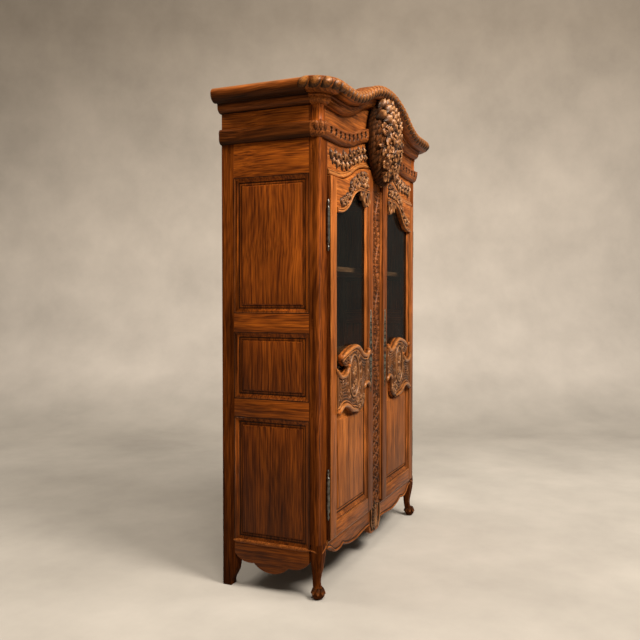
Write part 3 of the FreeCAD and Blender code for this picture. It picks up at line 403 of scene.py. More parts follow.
finishes = {
    "side_upright": walnut("waxed_walnut_side_upright", *side_colours, "Z", height_shade=1.0),
    "side_level": walnut("waxed_walnut_side_level", *rail_colours, "Y", height_shade=1.0),
    "side_frieze_level": walnut("waxed_walnut_side_frieze", *frieze_colours, "Y"),
    "side_post_upright": walnut("waxed_walnut_post", *post_colours, "Z", gloss=0.68, height_shade=0.9, shine=0.05),
    "front_upright": walnut("waxed_walnut_front_upright", *front_colours, "Z"),
    "front_panel_upright": walnut("waxed_walnut_door_panel", *door_panel_colours, "Z", height_shade=0.4),
    "front_dark_upright": walnut("waxed_walnut_meeting_stile", *meeting_colours, "Z"),
    "front_level": walnut("waxed_walnut_front_level", *front_colours, "X"),
    "front_dark_level": walnut("waxed_walnut_frieze", *dark_front_colours, "X"),
    "carved": walnut("carved_walnut", *carved_colours, "Z", carved=0.45, gloss=0.3, shine=0.45),
    "carved_shade": walnut("carved_walnut_in_shade", *shade_colours, "Z", carved=0.2, shine=0.12),
    "carved_red": walnut("carved_walnut_reddish", *red_colours, "X", carved=0.2, gloss=0.4),
    "carved_pale": walnut("carved_walnut_gadroons", *lobe_colours, "X", carved=0.2, gloss=0.29, shine=0.34),
    "carved_side": walnut("waxed_walnut_side_moulding", *side_moulding_colours, "Y", carved=0.3, gloss=0.36,
                          height_shade=0.3),
    "bead": walnut("carved_walnut_bead", *bead_colours, "X", carved=0.2, gloss=0.27, shine=0.55),
    "worn_upright": walnut("worn_walnut_arris_upright", *worn_colours, "Z", gloss=0.3),
    "worn_level": walnut("worn_walnut_arris_level", *worn_colours, "X", gloss=0.3),
    "side_worn_upright": walnut("worn_walnut_side_arris_upright", *worn_side_colours, "Z", height_shade=1.0),
    "side_worn_level": walnut("worn_walnut_side_arris_level", *worn_side_colours, "Y", height_shade=1.0),
    "dark_upright": walnut("waxed_walnut_door_edge", *door_edge_colours, "Z"),
    "shelf": walnut("bare_walnut_shelf", *shelf_colours, "X", gloss=0.6),
    "grime_and_shade": walnut("grime_and_shade_walnut_edge", *grime_and_shade_colours, "Z", gloss=0.55),
    "inside": walnut("bare_walnut_inside", *inside_colours, "X", gloss=0.6),
    "back": walnut("bare_walnut_back", *back_colours, "Z", gloss=0.62),
    "hinge": aged_steel("worn_wrought_steel", "#817c72", "#3f3b35", 0.4),
    "escutcheon": aged_steel("patinated_pierced_steel", "#c4c0ac", "#7d7c69", 0.4),
    "lock": aged_steel("dark_lock_iron", "#4c4742", "#2a2725", 0.55),
    "glass": old_glass()}

# Finishes by a node's name, and for the rest by a part, the start or the end of it
named_finishes = {
    "back_boards": "back", "back_rails": "back", "shelves": "shelf", "shelf_cleats": "inside",
    "floor_board": "inside", "ceiling_board": "inside", "cornice_roof_board": "inside",
    "cornice_back_rail": "inside", "cornice_front_frieze": "front_dark_level",
    "cornice_front_crown": "front_dark_level", "cornice_side_friezes": "side_frieze_level",
    "hinge_post_halves": "hinge", "joint_pegs": "side_post_upright", "cornice_corner_posts": "side_upright"}
part_finishes = (("hinge_halves", "hinge"), ("escutcheon", "escutcheon"), ("lock", "lock"),
                 ("_side_", "side_upright"))
start_finishes = (("side_", "side_level"), ("cornice_front", "front_level"))
end_finishes = (("_glass", "glass"), ("_door_panel", "front_panel_upright"),
                ("_meeting_stile", "front_dark_upright"), ("left_post", "side_post_upright"),
                ("right_post", "side_post_upright"), ("top_rail", "front_level"),
                ("middle_rail", "front_level"), ("bottom_rail", "front_level"))


def finish_of(node):
    """Finish of a node, from its name."""
    if node in named_finishes:
        return named_finishes[node]
    found = [finish for end, finish in end_finishes if node.endswith(end)]
    found += [finish for start, finish in start_finishes if node.startswith(start)]
    found += [finish for part, finish in part_finishes if part in node]
    return found[0] if found else "front_upright"


for node_name, node_object in frame["nodes"].items():
    node_object.data.materials.clear()
    node_object.data.materials.append(finishes[finish_of(node_name)])


# Making meshes. A shape is its points in millimetres, its faces and, where it is carved, its hollows

FRONT = np.array([0.0, -1.0, 0.0])
sharp_turn = math.radians(50)
bead_points = 9


def outward(mesh):
    """Turns a mesh's faces outwards, and shades it smooth but for its sharp edges."""
    shape = bmesh.new()
    shape.from_mesh(mesh)
    bmesh.ops.recalc_face_normals(shape, faces=shape.faces)
    shape.to_mesh(mesh)
    shape.free()
    mesh.shade_smooth()
    mesh.set_sharp_from_angle(angle=sharp_turn)


def settle(name, mesh, body, stands_for=()):
    """Adds a mesh to the scene, where it rides on a body and stands for the nodes that it replaces."""
    thing = bpy.data.objects.new(name, mesh)
    bpy.context.scene.collection.objects.link(thing)
    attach(thing, body)
    if stands_for:
        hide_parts(*stands_for)


def shape_mesh(name, points, faces, hollow=None):
    """A smooth mesh of a shape. Its hollow attribute says how deep each point lies in the carving."""
    mesh = bpy.data.meshes.new(name)
    mesh.from_pydata((np.asarray(points) * MM).tolist(), [], [list(map(int, face)) for face in faces])
    if hollow is not None:
        layer = mesh.attributes.new("hollow", "FLOAT", "POINT")
        layer.data.foreach_set("value", np.asarray(hollow, np.float32))
    outward(mesh)
    return mesh


def piece(name, shape, finish, body, stands_for=()):
    """A closed piece of one finish that rides on a body."""
    mesh = shape_mesh(name, *shape)
    mesh.materials.append(finishes[finish])
    settle(name, mesh, body, stands_for)


def joined(parts):
    """Several shapes as one."""
    points, faces, hollows, count = [], [], [], 0
    for part_points, part_faces, part_hollow in parts:
        points.append(part_points)
        faces += [[index + count for index in face] for face in part_faces]
        hollows.append(np.broadcast_to(part_hollow, len(part_points)))
        count += len(part_points)
    return np.concatenate(points), faces, np.concatenate(hollows)


def flipped(shape, side):
    """A shape as it is for side 1, or mirrored across the cabinet's middle for side -1."""
    return (shape[0] * [side, 1, 1], *shape[1:])


# The hollow sets painted shade, with old wax, so this sets how dark a carving's recesses are painted
def hollow_rescaled(shape, least, share):
    """A shape whose hollows are rescaled, from a least one."""
    points, faces, hollow = shape
    return points, faces, least + hollow * share


def tube(rings):
    """Points and faces of a closed tube through rings of points, with both ends capped."""
    count, around = rings.shape[:2]
    number = np.arange(count * around).reshape(count, around)
    after = np.roll(number, -1, axis=1)
    quads = np.stack([number[:-1], after[:-1], after[1:], number[1:]], -1).reshape(-1, 4).tolist()
    return rings.reshape(-1, 3), quads + [number[0].tolist()[::-1], number[-1].tolist()]


def slab_faces(kept):
    """Faces of a slab over the kept cells of a grid: its front, its back and the walls round its edges."""
    rows, columns = np.array(kept.shape) + 1
    number = np.arange(rows * columns).reshape(rows, columns)
    corners = np.stack([number[:-1, :-1], number[:-1, 1:], number[1:, 1:], number[1:, :-1]], -1)
    under = rows * columns
    faces = [corners[kept], corners[kept][:, ::-1] + under]
    padded = np.pad(kept, 1)
    beside = (padded[:-2, 1:-1], padded[1:-1, 2:], padded[2:, 1:-1], padded[1:-1, :-2])
    for index, neighbour in enumerate(beside):
        a, b = corners[kept & ~neighbour][:, [index, (index + 1) % 4]].T
        faces.append(np.stack([b, a, a + under, b + under], -1))
    return np.concatenate(faces)


def sweep(path, y, section, scale=1.0, side=1):
    """A section of (up, out) points carried along a path of (x, z) points in the face at y."""
    path = np.asarray(path, float)
    out, up = front_frames(path)
    scale = np.broadcast_to(scale, len(path))[:, None, None]
    place = np.stack([path[:, 0], np.full(len(path), y), path[:, 1]], 1)
    rings = place[:, None] + up[:, None] * (section[:, :1] * scale) + out[:, None] * (section[:, 1:] * scale)
    rings[..., 0] *= side
    return tube(rings)


def round_bar(places, across, up, radius):
    """A bar of round section through places, with ways across it and up from it at each."""
    turn = round_turn(10)[None, :, None]
    radius = np.broadcast_to(radius, len(places))[:, None, None]
    return tube(places[:, None] + radius * (across[:, None] * np.cos(turn) + up[:, None] * np.sin(turn)))


def half_round(width, rise, sink=2.0, count=bead_points):
    """Section of a bead that is let into its face by sink."""
    half = width / 2
    top = ray(np.linspace(0, math.pi, count)) * [half, rise]
    return np.concatenate([top, [[-half, -sink], [half, -sink]]])


def ends(count, taper, least):
    """Scale along a bead that narrows at both ends."""
    t = np.linspace(0, 1, count)
    return least + (1 - least) * np.sqrt(np.clip(np.minimum(t, 1 - t) / taper, 0, 1))


def bead(name, path, level, width, rise, body, side, scale=1.0):
    """A bead along a path in the face at a level. Its crest is painted pale, as wear with a painted
    highlight, and its sides darker, as painted shade.
    """
    crest = np.sin(np.linspace(0, math.pi, bead_points))
    painted_shade = np.append(0.62 * (1 - crest) ** 1.3, [0.8, 0.8])
    shape = sweep(path, level, half_round(width, rise), scale, side)
    piece(name, (*shape, np.tile(painted_shade, len(path))), "bead", body)


# Boards with worn edges

weld_gap = 0.002
flat_angle = math.radians(0.5)
sharp_angle = math.radians(38)
worn_round = 2.0
grimed_round = 3.0
carved_whole = ("cartouche", "cornice_front_architrave", "cornice_side_crowns", "cornice_side_architraves",
                "joint_pegs")


def edge_finish(node, finish):
    """Finish of a board's rounded edges: dark at flush joints, its own on panels, and rubbed elsewhere."""
    flush = node.endswith(("_post", "_rail", "_rails")) and not node.startswith(("left_door", "right_door"))
    if "panel" in node:
        return finish
    if finish == "back" or flush and "bottom" not in node:
        return "grime_and_shade"
    worn = "worn_level" if finish.endswith("level") else "worn_upright"
    return "side_" + worn if finish.startswith("side") else worn


def softened(node, finish, body):
    """A copy of a board with rounded edges: pale where rubbed, dark at joints, darker on moulding faces that
    turn in, as painted shade, and darker on the stiles' side faces.
    """
    worn = edge_finish(node, finish)
    reach = grimed_round if worn == "grime_and_shade" else worn_round
    shape = bmesh.new()
    shape.from_mesh(frame["nodes"][node].data)
    bmesh.ops.remove_doubles(shape, verts=shape.verts, dist=weld_gap * MM)
    bmesh.ops.dissolve_limit(shape, angle_limit=flat_angle, verts=shape.verts, edges=shape.edges)
    sharp = [edge for edge in shape.edges
             if len(edge.link_faces) == 2 and edge.is_convex and edge.calc_face_angle(0) > sharp_angle]
    bmesh.ops.bevel(shape, geom=sharp, offset=reach * MM, segments=2, profile=0.5, affect="EDGES",
                    clamp_overlap=True, material=1)
    across = 0 if "_side_" in node else 1
    for face in shape.faces:
        # Moulding faces that turn in get the dark finish as painted shade; the stiles' side faces get a
        # darker walnut
        turned_in = "moulding" in node and abs(face.normal[across]) < 0.5
        if turned_in or node.endswith("_stile") and abs(face.normal.x) > 0.95:
            face.material_index = 2
    mesh = bpy.data.meshes.new("worn_" + node)
    shape.to_mesh(mesh)
    shape.free()
    outward(mesh)
    for kind in (finish, worn, "dark_upright" if node.endswith("_stile") else "grime_and_shade"):
        mesh.materials.append(finishes[kind])
    settle("worn_" + node, mesh, body, [node])


def worn_boards():
    """Every wooden board and moulding that shows gets worn edges, but for those that carving stands for."""
    for body, nodes in frame["record"]["behaviour"]["bodies"].items():
        for node in nodes:
            finish = finish_of(node)
            if finish.startswith(("side_", "front_", "back")) and node not in carved_whole:
                softened(node, finish, body)


def dark_line(start, end, level, width):
    """A thin dark strip from start to end in a face at a level, for painted shadow lines and dark joints."""
    return (*sweep(np.linspace(start, end, 3), level, half_round(width, rise=0.7, sink=1.0, count=5)), 0.0)


def side_dark():
    """Dark lines round each panel of a side: a dark joint at its moulding's outer edge, and painted shade at
    the moulding's inner foot and at its raised field.
    """
    low, high = span("left_side_mouldings")
    rails = [span(node)[end][2] for node in ("side_lower_rails", "side_upper_rails") for end in (0, 1)]
    breaks = [low[2], *rails, high[2]]
    frames = ((0.0, 0.0, 5.0), (moulding_width + 2, panel_setback, 7.0),
              (moulding_width + field_margin - 1.5, panel_setback, 3.5))
    strips = []
    for bottom, top in zip(breaks[::2], breaks[1::2]):
        for edge, depth, width in frames:
            front, back, foot, head = low[1] + edge, high[1] - edge, bottom + edge, top - edge
            corners = [(front, foot), (back, foot), (back, head), (front, head)]
            for start, end in zip(corners, corners[1:] + corners[:1]):
                strips.append(dark_line(start, end, depth - half_width, width))
    return joined(strips)[:2]


def door_dark():
    """Painted shade on a door's panel: dark lines at the foot of its raised field and beside its moulding."""
    low = span("left_door_bottom_rail")[1][2]
    strips = []
    for gap, top, width in ((door_moulding_width + door_field_margin - 2, door_field_top, 5.0),
                            (door_moulding_width + 2, band_bottom - 110, 7.0)):
        left, right, foot = meeting_inner + gap, hinge_inner - gap, low + gap
        for start, end in (((left, foot), (left, top)), ((right, foot), (right, top)),
                           ((left, foot), (right, foot))):
            strips.append(dark_line(start, end, post_face, width))
    return joined(strips)[:2]


def panel_dark():
    """Dark lines in the corners of the panels of both sides and both doors: painted shade, and on the sides a
    dark joint too.
    """
    points, faces = side_dark()
    turned = (points[:, [1, 0, 2]], faces)
    door = door_dark()
    for side, name in SIDES:
        piece(name + "_side_wax_lines", flipped(turned, -side), "grime_and_shade", "case")
        piece(name + "_door_wax_lines", flipped(door, side), "grime_and_shade", name + "_door")


# Low carving, as heights over a front face, and how fine its grids are

leaf_step = 1.6
strip_step = 1.8
rail_step = 1.5


class Ground:
    """Heights over a rectangle of a front face, cut away below the face where nothing is carved."""
    below = -2.0

    def __init__(self, xs, zs, step):
        """Flat ground between two x and two z values, with points a step apart."""
        self.x, self.z = (np.arange(low, high + step / 2, step) for low, high in (xs, zs))
        self.grid = np.meshgrid(self.x, self.z)
        self.height = np.full((len(self.z), len(self.x)), self.below)

    def window(self, points, margin):
        """The part of the ground within a margin of some points, and its places."""
        points = np.asarray(points)
        low, high = points.min(0) - margin, points.max(0) + margin
        columns = slice(*np.searchsorted(self.x, [low[0], high[0]]))
        rows = slice(*np.searchsorted(self.z, [low[1], high[1]]))
        return (rows, columns), *np.meshgrid(self.x[columns], self.z[rows])

    def swell(self, where, share, height):
        """Raises the ground where the share of a form's half width is below one."""
        self.height[where] = np.maximum(self.height[where], np.where(share < 1, height, self.below))


def near(x, z, path):
    """Share of the way along a path, and distance to its left, of each point's nearest place on it."""
    path = np.asarray(path, float)
    path = path[np.append(np.abs(np.diff(path, axis=0)).sum(1) > 1e-6, True)]
    start, step = path[:-1], np.diff(path, axis=0)
    reach = np.stack([x.ravel(), z.ravel()], 1)[:, None] - start
    share = np.clip((reach * step).sum(2) / (step ** 2).sum(1), 0, 1)
    gap = reach - share[..., None] * step
    best = (gap ** 2).sum(2).argmin(1)
    rows = np.arange(len(best))
    gap = gap[rows, best]
    turn = step[best, 0] * gap[:, 1] - step[best, 1] * gap[:, 0]
    along = (best + share[rows, best]) / len(step)
    return along.reshape(x.shape), (np.sign(turn) * np.linalg.norm(gap, axis=1)).reshape(x.shape)


def stroke(ground, path, width, rise, taper=True):
    """A rounded stem or scroll along a path."""
    where, x, z = ground.window(path, width)
    along, side = near(x, z, path)
    half = width / 2 * (np.clip(np.minimum(along, 1 - along) * 5, 0.25, 1) ** 0.5 if taper else 1)
    share = np.abs(side) / half
    ground.swell(where, share, rise * dome(share))


def leaf(ground, base, tip, width, rise, bend):
    """A carved leaf with a sunk midrib."""
    path = arc(base, tip, bend, 10)
    where, x, z = ground.window(path, width)
    along, side = near(x, z, path)
    half = width / 2 * np.sin(math.pi * np.clip(along, 0.03, 0.985) ** 0.7) ** 0.85
    share = np.abs(side) / np.maximum(half, 0.3)
    rib = 1 - 0.5 * np.exp(-(side / (0.09 * width)) ** 2)
    ground.swell(where, share, rise * (0.45 + 0.55 * np.sin(math.pi * along ** 0.8)) * dome(share) * rib)


def berry(ground, centre, radius, rise):
    """A round berry."""
    where, x, z = ground.window([centre], radius)
    share = np.hypot(x - centre[0], z - centre[1]) / radius
    ground.swell(where, share, rise * dome(share))


def rosette(ground, centre, radius, petals, rise, turn=0.0):
    """A flower of rounded petals round a berry."""
    for angle in turn + round_turn(petals):
        leaf(ground, centre, centre + radius * ray(angle), 3.9 * radius / petals, rise, bend=0.08)
    berry(ground, centre, radius * 0.28, rise * 1.15)


def spray(ground, stem, size, width, rise, gap, lean=1.1):
    """A stem with uneven leaves to both sides that point along it, and berries between them."""
    stroke(ground, stem, 6.0, rise * 0.7)
    shares = np.linspace(0, 1, len(stem))
    count = int(np.linalg.norm(np.diff(stem, axis=0), axis=1).sum() / gap)
    for index in range(count):
        for way in (-1, 1):
            share = (index + 0.5 + 0.22 * way) / count
            place, ahead = (np.array([np.interp(at, shares, stem[:, axis]) for axis in (0, 1)])
                            for at in (share, share + 0.03))
            heading = math.atan2(*(ahead - place)[::-1])
            reach = size * (0.6 + 0.4 * math.sin(math.pi * share ** 0.8)) * rng.uniform(0.7, 1.12)
            tip = place + reach * ray(heading + way * (lean + rng.uniform(-0.32, 0.32)))
            leaf(ground, place, tip, width * rng.uniform(0.75, 1.1), rise * rng.uniform(0.8, 1.15),
                 bend=-way * 0.18)
            berry(ground, place + 0.5 * reach * ray(heading + way * (lean + 0.75)), width * 0.3, rise * 0.9)


def blurred(values, reach):
    """Mean over a square of reach cells each way."""
    size = 2 * reach + 1
    for _ in range(2):
        total = np.cumsum(np.pad(values, [(reach + 1, reach), (0, 0)], mode="edge"), axis=0)
        values = ((total[size:] - total[:-size]) / size).T
    return values


def carving(ground, y, side=1, bed=5, inside=True):
    """A closed solid of the carving, with a bed round it of some cells, and how hollow each point lies."""
    bed_height = 0.35
    back_depth = 1.0 - ground.below
    height = ground.height
    # The bed round the raised parts carries painted shade. Points lower than the carving's top, and lower
    # than their neighbours, get a higher hollow: painted shade in recesses and round raised parts, with old
    # wax
    around = blurred((height > 0).astype(float), bed) > 0.12
    height = np.where(around & (height < bed_height), bed_height, height)
    height = np.where(inside, height, ground.below)
    wide = blurred(np.maximum(height, 0), 4)
    top = np.percentile(height[height > 1], 90)
    hollow = np.clip(1 - height / top, 0, 1) * 0.75 + np.clip((wide - height) / top, 0, 1) * 0.9
    keep = height > ground.below + 0.1
    used, faces = np.unique(slab_faces(keep[:-1, :-1] | keep[:-1, 1:] | keep[1:, :-1] | keep[1:, 1:]),
                            return_inverse=True)
    x, z = ground.grid
    points = np.stack([np.stack([side * x, y + depth, z], -1) for depth in (-height, back_depth + 0 * x)])
    hollow = np.append(np.clip(hollow, 0, 1), np.ones(hollow.size))
    return points.reshape(-1, 3)[used], faces.reshape(-1, 4), hollow[used]


def inside_outline(ground, outline):
    """Which points of the ground lie inside a closed outline."""
    x, z = ground.grid
    inside = np.zeros(x.shape, bool)
    for (x0, z0), (x1, z1) in zip(outline, np.roll(outline, -1, axis=0)):
        if z0 != z1:
            inside ^= ((z0 > z) != (z1 > z)) & (x < (x1 - x0) * (z - z0) / (z1 - z0) + x0)
    return inside


def across_arch(outer, arch, inner, counts):
    """Places from outer to inner past an arch, with a count of them before, on and after its curve."""
    stops = (outer, *arch, inner)
    before, curve, after = (np.linspace(*run) for run in zip(stops, stops[1:], counts))
    return np.concatenate([before[:-1], curve, after[1:]])


def top_rail_sprays():
    """Leaf sprays on the front's top rail, from the cartouche out to the posts, and the beads below."""
    x = np.linspace(140, 596, 28)
    middle = (door_top(x) + door_gap) * 0.45 + rail_top(x) * 0.55
    stem = np.stack([x, middle + 4 * np.sin(np.linspace(0, 9, 28))], 1)
    x = across_arch(post_inner - 2, door_arch, muntin_half - 2, (4, 40, 5))
    for side, name in SIDES:
        ground = Ground((120, 622), (1900, 2120), leaf_step)
        spray(ground, stem, size=58, width=27, rise=14.0, gap=52, lean=1.3)
        berry(ground, stem[-1], 8, 9)
        grid_x, grid_z = ground.grid
        inside = (grid_z > door_top(grid_x) + door_gap + 30) & (grid_z < rail_top(grid_x) - 3)
        shape = carving(ground, post_face, side, bed=4, inside=inside)
        piece(name + "_frieze_spray", shape, "carved", "case")
        for number, lift, width, rise in ((1, 12, 20, 10), (2, 25, 8, 5)):
            path = np.stack([x, door_top(x) + door_gap + lift], 1)
            bead("%s_door_arch_bead_%d" % (name, number), path, post_face, width, rise, "case", side)


def door_top_carving():
    """Foliage on each door's top rail, the beads along the glass, and the leaves that hang before it."""
    low, high = np.linspace(158, 520, 28), np.linspace(160, 400, 20)
    low_stem = np.stack([low, sight_top(low) + 48], 1)
    high_stem = np.stack([high, sight_top(high) * 0.28 + door_top(high) * 0.72 - 6], 1)
    x = across_arch(hinge_inner - 3, sight_arch, meeting_inner + 2, (4, 36, 8))
    for side, name in SIDES:
        body = name + "_door"
        ground = Ground((140, 600), (1725, 1980), leaf_step)
        spray(ground, low_stem, size=42, width=26, rise=12.0, gap=42, lean=1.2)
        spray(ground, high_stem, size=34, width=24, rise=11.0, gap=44, lean=1.2)
        rosette(ground, (205, 1900), radius=24, petals=6, rise=13)
        rosette(ground, (310, 1864), radius=20, petals=6, rise=12)
        grid_x, grid_z = ground.grid
        inside = ((grid_z > sight_top(grid_x) + 22) & (grid_z < door_top(grid_x) - 10)
                  & (grid_x > meeting_inner + 4))
        shape = carving(ground, door_face, side, bed=4, inside=inside)
        piece(name + "_door_spray", shape, "carved", body)
        for number, lift, width, rise in ((1, 6, 12, 9), (2, 17, 8, 6)):
            path = np.stack([x, sight_top(x) + lift], 1)
            bead("%s_glass_bead_%d" % (name, number), path, door_face, width, rise, body, side)
        hanging_leaves(side, name)


def hanging_leaves(side, name):
    """Two curled scrolls with leaves round them, which hang from a door's top rail before the glass."""
    turn = np.linspace(0, 5.4, 30)
    curl = 34 * (1 - turn / 7.5)[:, None] * ray(turn)
    parts = []
    for shift, size, thick in ((0, 1.0, 20), (46, 0.6, 14)):
        path = [196 + shift, sight_high - 30 * size] - size * curl
        section = half_round(thick, rise=11, sink=6)
        parts.append((*sweep(path, door_face + 2, section, ends(30, taper=0.15, least=0.5), side), 0.12))
    for x, z, lean, length, width in ((160, 4, -4, 62, 30), (178, -18, -2, 54, 28), (226, 0, 12, 58, 34),
                                      (254, 4, 22, 36, 26), (206, 12, 4, 34, 34)):
        base = np.array([side * x, door_face - 3, sight_high + 8 + z])
        way = np.array([side * lean, 0, -length])
        parts.append(blade(base, way, FRONT, width, curl=0.10, thick=9.0, rounded=2.4))
    piece(name + "_hanging_leaves", joined(parts), "carved", name + "_door")


# Leaves and petals carved in the round

def blade(base, way, out, width, curl, thick, rounded, count=(9, 7), bulge=0.16):
    """A leaf from base along way that lifts towards out, grooved along its middle, and its hollows."""
    length = np.linalg.norm(way)
    ahead = way / length
    out = unit(out - ahead * (out @ ahead))
    across = np.cross(ahead, out)
    s = np.linspace(0, 1, count[0])[:, None]
    t = np.linspace(-1, 1, count[1])[None, :]
    crown = np.cos(t * math.pi / 2)
    spread = 0.3 + 0.7 * np.sin(np.clip(s * 1.5, 0, 1) * math.pi / 2)
    half = width / 2 * spread * np.sqrt(np.clip(1 - s ** rounded, 0.01, 1))
    groove = 0.10 * width * np.exp(-(t / 0.2) ** 2) * np.sin(math.pi * s)
    lift = curl * length * np.sin(s * 2.0) + width * bulge * crown * (1 - 0.25 * s) - groove
    top = base + ahead * (length * s)[..., None] + across * (half * t)[..., None] + out * lift[..., None]
    bottom = top - out * (thick * (0.5 + 0.5 * crown))[..., None]
    # Painted shade: darker at the leaf's base, along its groove, at its edges and on its underside; paler
    # towards its tip, as a painted highlight
    hollow = np.clip(0.82 - 1.15 * s + 0.35 * np.exp(-(t / 0.16) ** 2) * (1 - s) + 0.25 * t ** 4, 0, 1)
    faces = slab_faces(np.ones((count[0] - 1, count[1] - 1), bool)).tolist()
    return np.stack([top, bottom]).reshape(-1, 3), faces, np.append(hollow, np.full(hollow.size, 0.55))


def ball(centre, radius, around=8, rows=5):
    """A small round berry."""
    up = np.linspace(-0.98, 0.98, rows)[:, None] * math.pi / 2
    turn = round_turn(around)
    rings = np.stack([np.cos(up) * np.cos(turn), np.cos(up) * np.sin(turn), np.sin(up) + 0 * turn], -1)
    return (*tube(rings * radius + centre), 0.05)


# The egg of the cartouche: its middle and its half width, depth and half height
egg_low, egg_high = span("cartouche")
egg_half_height = 223.5
egg_middle = np.array([0.0, post_face - 26, egg_low[2] + egg_half_height])
egg_size = np.array([egg_high[0] * 0.965, (post_face - egg_low[1]) * 0.77, egg_half_height * 0.965])


def on_egg(a, b):
    """Place on the egg at shares of its half width and half height, and the ways out, across and up there."""
    size = max(math.hypot(a, b), 1.0)
    a, b = a / size, b / size
    place = np.array([a, -math.sqrt(max(1 - a * a - b * b, 0)), b])
    out = unit(place / egg_size)
    level = unit(np.cross(out, [0.0, 0, 1]))
    return egg_middle + egg_size * place, out, level, np.cross(level, out)


def grooved_egg():
    """Half an egg that stands off the frieze on a smaller neck, cut with leaves that sweep to its head."""
    up = np.linspace(0.02, 1, 40)[:, None] * math.pi / 2
    turn = round_turn(320)[None, :]
    place = np.stack([np.sin(up) * np.cos(turn), -np.cos(up) + 0 * turn, np.sin(up) * np.sin(turn)], -1)
    inward = 1 - up / up[-1]
    tilt = np.arctan2(np.cos(turn), np.sin(turn))
    ridge = np.abs(np.cos(23 * tilt + 9.0 * inward * np.sign(tilt))) ** 0.8
    cut = 4.0 * ridge * np.clip(inward * 9, 0, 1)
    rings = egg_middle + egg_size * place + unit(place / egg_size) * cut[..., None]
    neck = [egg_middle + (rings[-1] - egg_middle) * [scale, 1, scale] + [0, back, 0]
            for scale, back in ((0.985, 8.0), (0.9, 12.0), (0.88, post_face + 3 - egg_middle[1]))]
    # Painted shade: darker between the ridges, and on the neck under the egg
    hollow = 0.5 + 0.35 * (1 - ridge)
    return (*tube(np.concatenate([rings, neck])), np.append(hollow, np.full(len(neck) * turn.size, 0.8)))


def egg_leaves():
    """Small leaves round the sides and foot of the egg, which sweep up towards its head."""
    count = 64
    leaves = []
    for way in (-1, 1):
        for index in range(count):
            reach = 0.985 - 0.3 * ((index * 7) % 10) / 10
            angle = math.radians(-88 + 136 * index / (count - 1))
            place, out, level, upright = on_egg(way * reach * math.cos(angle), reach * math.sin(angle))
            turned = math.pi / 2 - way * (0.45 + rng.uniform(-0.5, 0.5))
            along = level * math.cos(turned) + upright * math.sin(turned) + out * rng.uniform(0.04, 0.16)
            leaves.append(blade(place - out * 2, along * rng.uniform(32, 54), out, rng.uniform(17, 25),
                                curl=0.06, thick=6.0, rounded=1.8, count=(7, 5), bulge=0.24))
    return hollow_rescaled(joined(leaves), 0.12, 0.8)


def egg_buds():
    """Rows of round petals at the head of the egg, the outer ones larger."""
    petals = []
    for reach, count, size in ((0.95, 9, 62), (0.80, 8, 60), (0.62, 7, 54), (0.45, 5, 48)):
        for index in range(count):
            angle = math.radians(22 + 136 * (index + 0.5) / count + rng.uniform(-4, 4))
            place, out, level, upright = on_egg(reach * math.cos(angle), reach * math.sin(angle) + 0.02)
            way = level * math.cos(angle) + upright * math.sin(angle) + out * 0.3
            petals.append(blade(place, way * size * rng.uniform(0.85, 1.05), out, size * 0.86,
                                curl=0.1, thick=9.0, rounded=5, bulge=0.3))
    return petals


def egg_flowers():
    """A heap of flowers before the egg: by turns a cross of pointed leaves and a round one with a berry."""
    count = 44
    parts = []
    for index in range(count):
        reach = 0.74 * math.sqrt((index + 0.5) / count)
        angle = 2.4 * index
        place, out, level, upright = on_egg(reach * math.cos(angle), reach * 1.1 * math.sin(angle) - 0.1)
        raised = place + out * rng.uniform(0, 11) * (1.2 - reach)
        if index % 2:
            petals, size, lean, wide, rounded = 5, rng.uniform(26, 36), 0.3, 0.95, 5
        else:
            petals, size, lean, wide, rounded = 4, rng.uniform(40, 54), 0.16, 0.6, 1.9
        for start in round_turn(petals):
            turned = start + rng.uniform(-0.3, 0.3) + index
            way = level * math.cos(turned) + upright * math.sin(turned) + out * lean * rng.uniform(0.2, 1.3)
            parts.append(blade(raised, way * size, out, size * wide * rng.uniform(0.8, 1.05),
                               curl=0.06, thick=6.0, rounded=rounded, count=(7, 7), bulge=0.2))
        if index % 2:
            parts.append(ball(raised + out * 7, size * 0.2))
    return parts


def egg_pendant():
    """Long leaves that hang from the foot of the egg."""
    root = 2010
    leaves = []
    for x, length, width, lift in ((-44, 70, 30, 8), (44, 70, 30, 8), (-26, 92, 34, 0), (26, 92, 34, 0),
                                   (0, 104, 44, 0), (0, 66, 32, 22)):
        base = np.array([x, post_face - 40 - lift * 0.7, root + lift])
        way = np.array([-x * 0.3, 18.0, -length])
        leaves.append(blade(base, way, FRONT, width, curl=0.10, thick=9.0, rounded=2))
    return leaves


def cartouche():
    """An egg cut with leaves, with buds at its head, a heap of flowers before it and a leafy pendant."""
    egg = hollow_rescaled(joined([grooved_egg(), egg_leaves()]), 0.04, 0.9)
    piece("carved_cartouche", egg, "carved_shade", "case", ["cartouche"])
    flowers = hollow_rescaled(joined(egg_buds() + egg_flowers() + egg_pendant()), 0.02, 1.1)
    narrow, door_head = muntin_half - 4, 1983
    x, height = flowers[0][:, 0], flowers[0][:, 2]
    x[:] = np.where(height < door_head, np.clip(x, -narrow, narrow), x)
    piece("cartouche_flowers", flowers, "carved", "case")


# Middle post, middle rails and apron

strip_half = 66.0
strip_rise = 5.0
strip_foot, strip_turn, strip_top = 262.0, 846.0, 1880.0


def vine(ground):
    """A waving stem with leaves and berries to both sides."""
    z = np.linspace(strip_turn + 6, strip_top - 6, 190)
    stem = np.stack([22 * np.sin((z - strip_turn) / 38.0), z], 1)
    stroke(ground, stem, width=9, rise=strip_rise + 7.0, taper=False)
    for place in stem[2:-2:5]:
        for way in (-1, 1):
            reach = min((strip_half - 4 - way * place[0]) * 0.98, 56) * rng.uniform(0.85, 1.0)
            tip = place + np.array([way * reach, rng.uniform(14, 30)])
            leaf(ground, place, tip, rng.uniform(20, 26), strip_rise + 7.0, bend=way * 0.2)
            middle = place + np.array([way * reach * 0.65, -9])
            berry(ground, middle, radius=8, rise=strip_rise + 6)


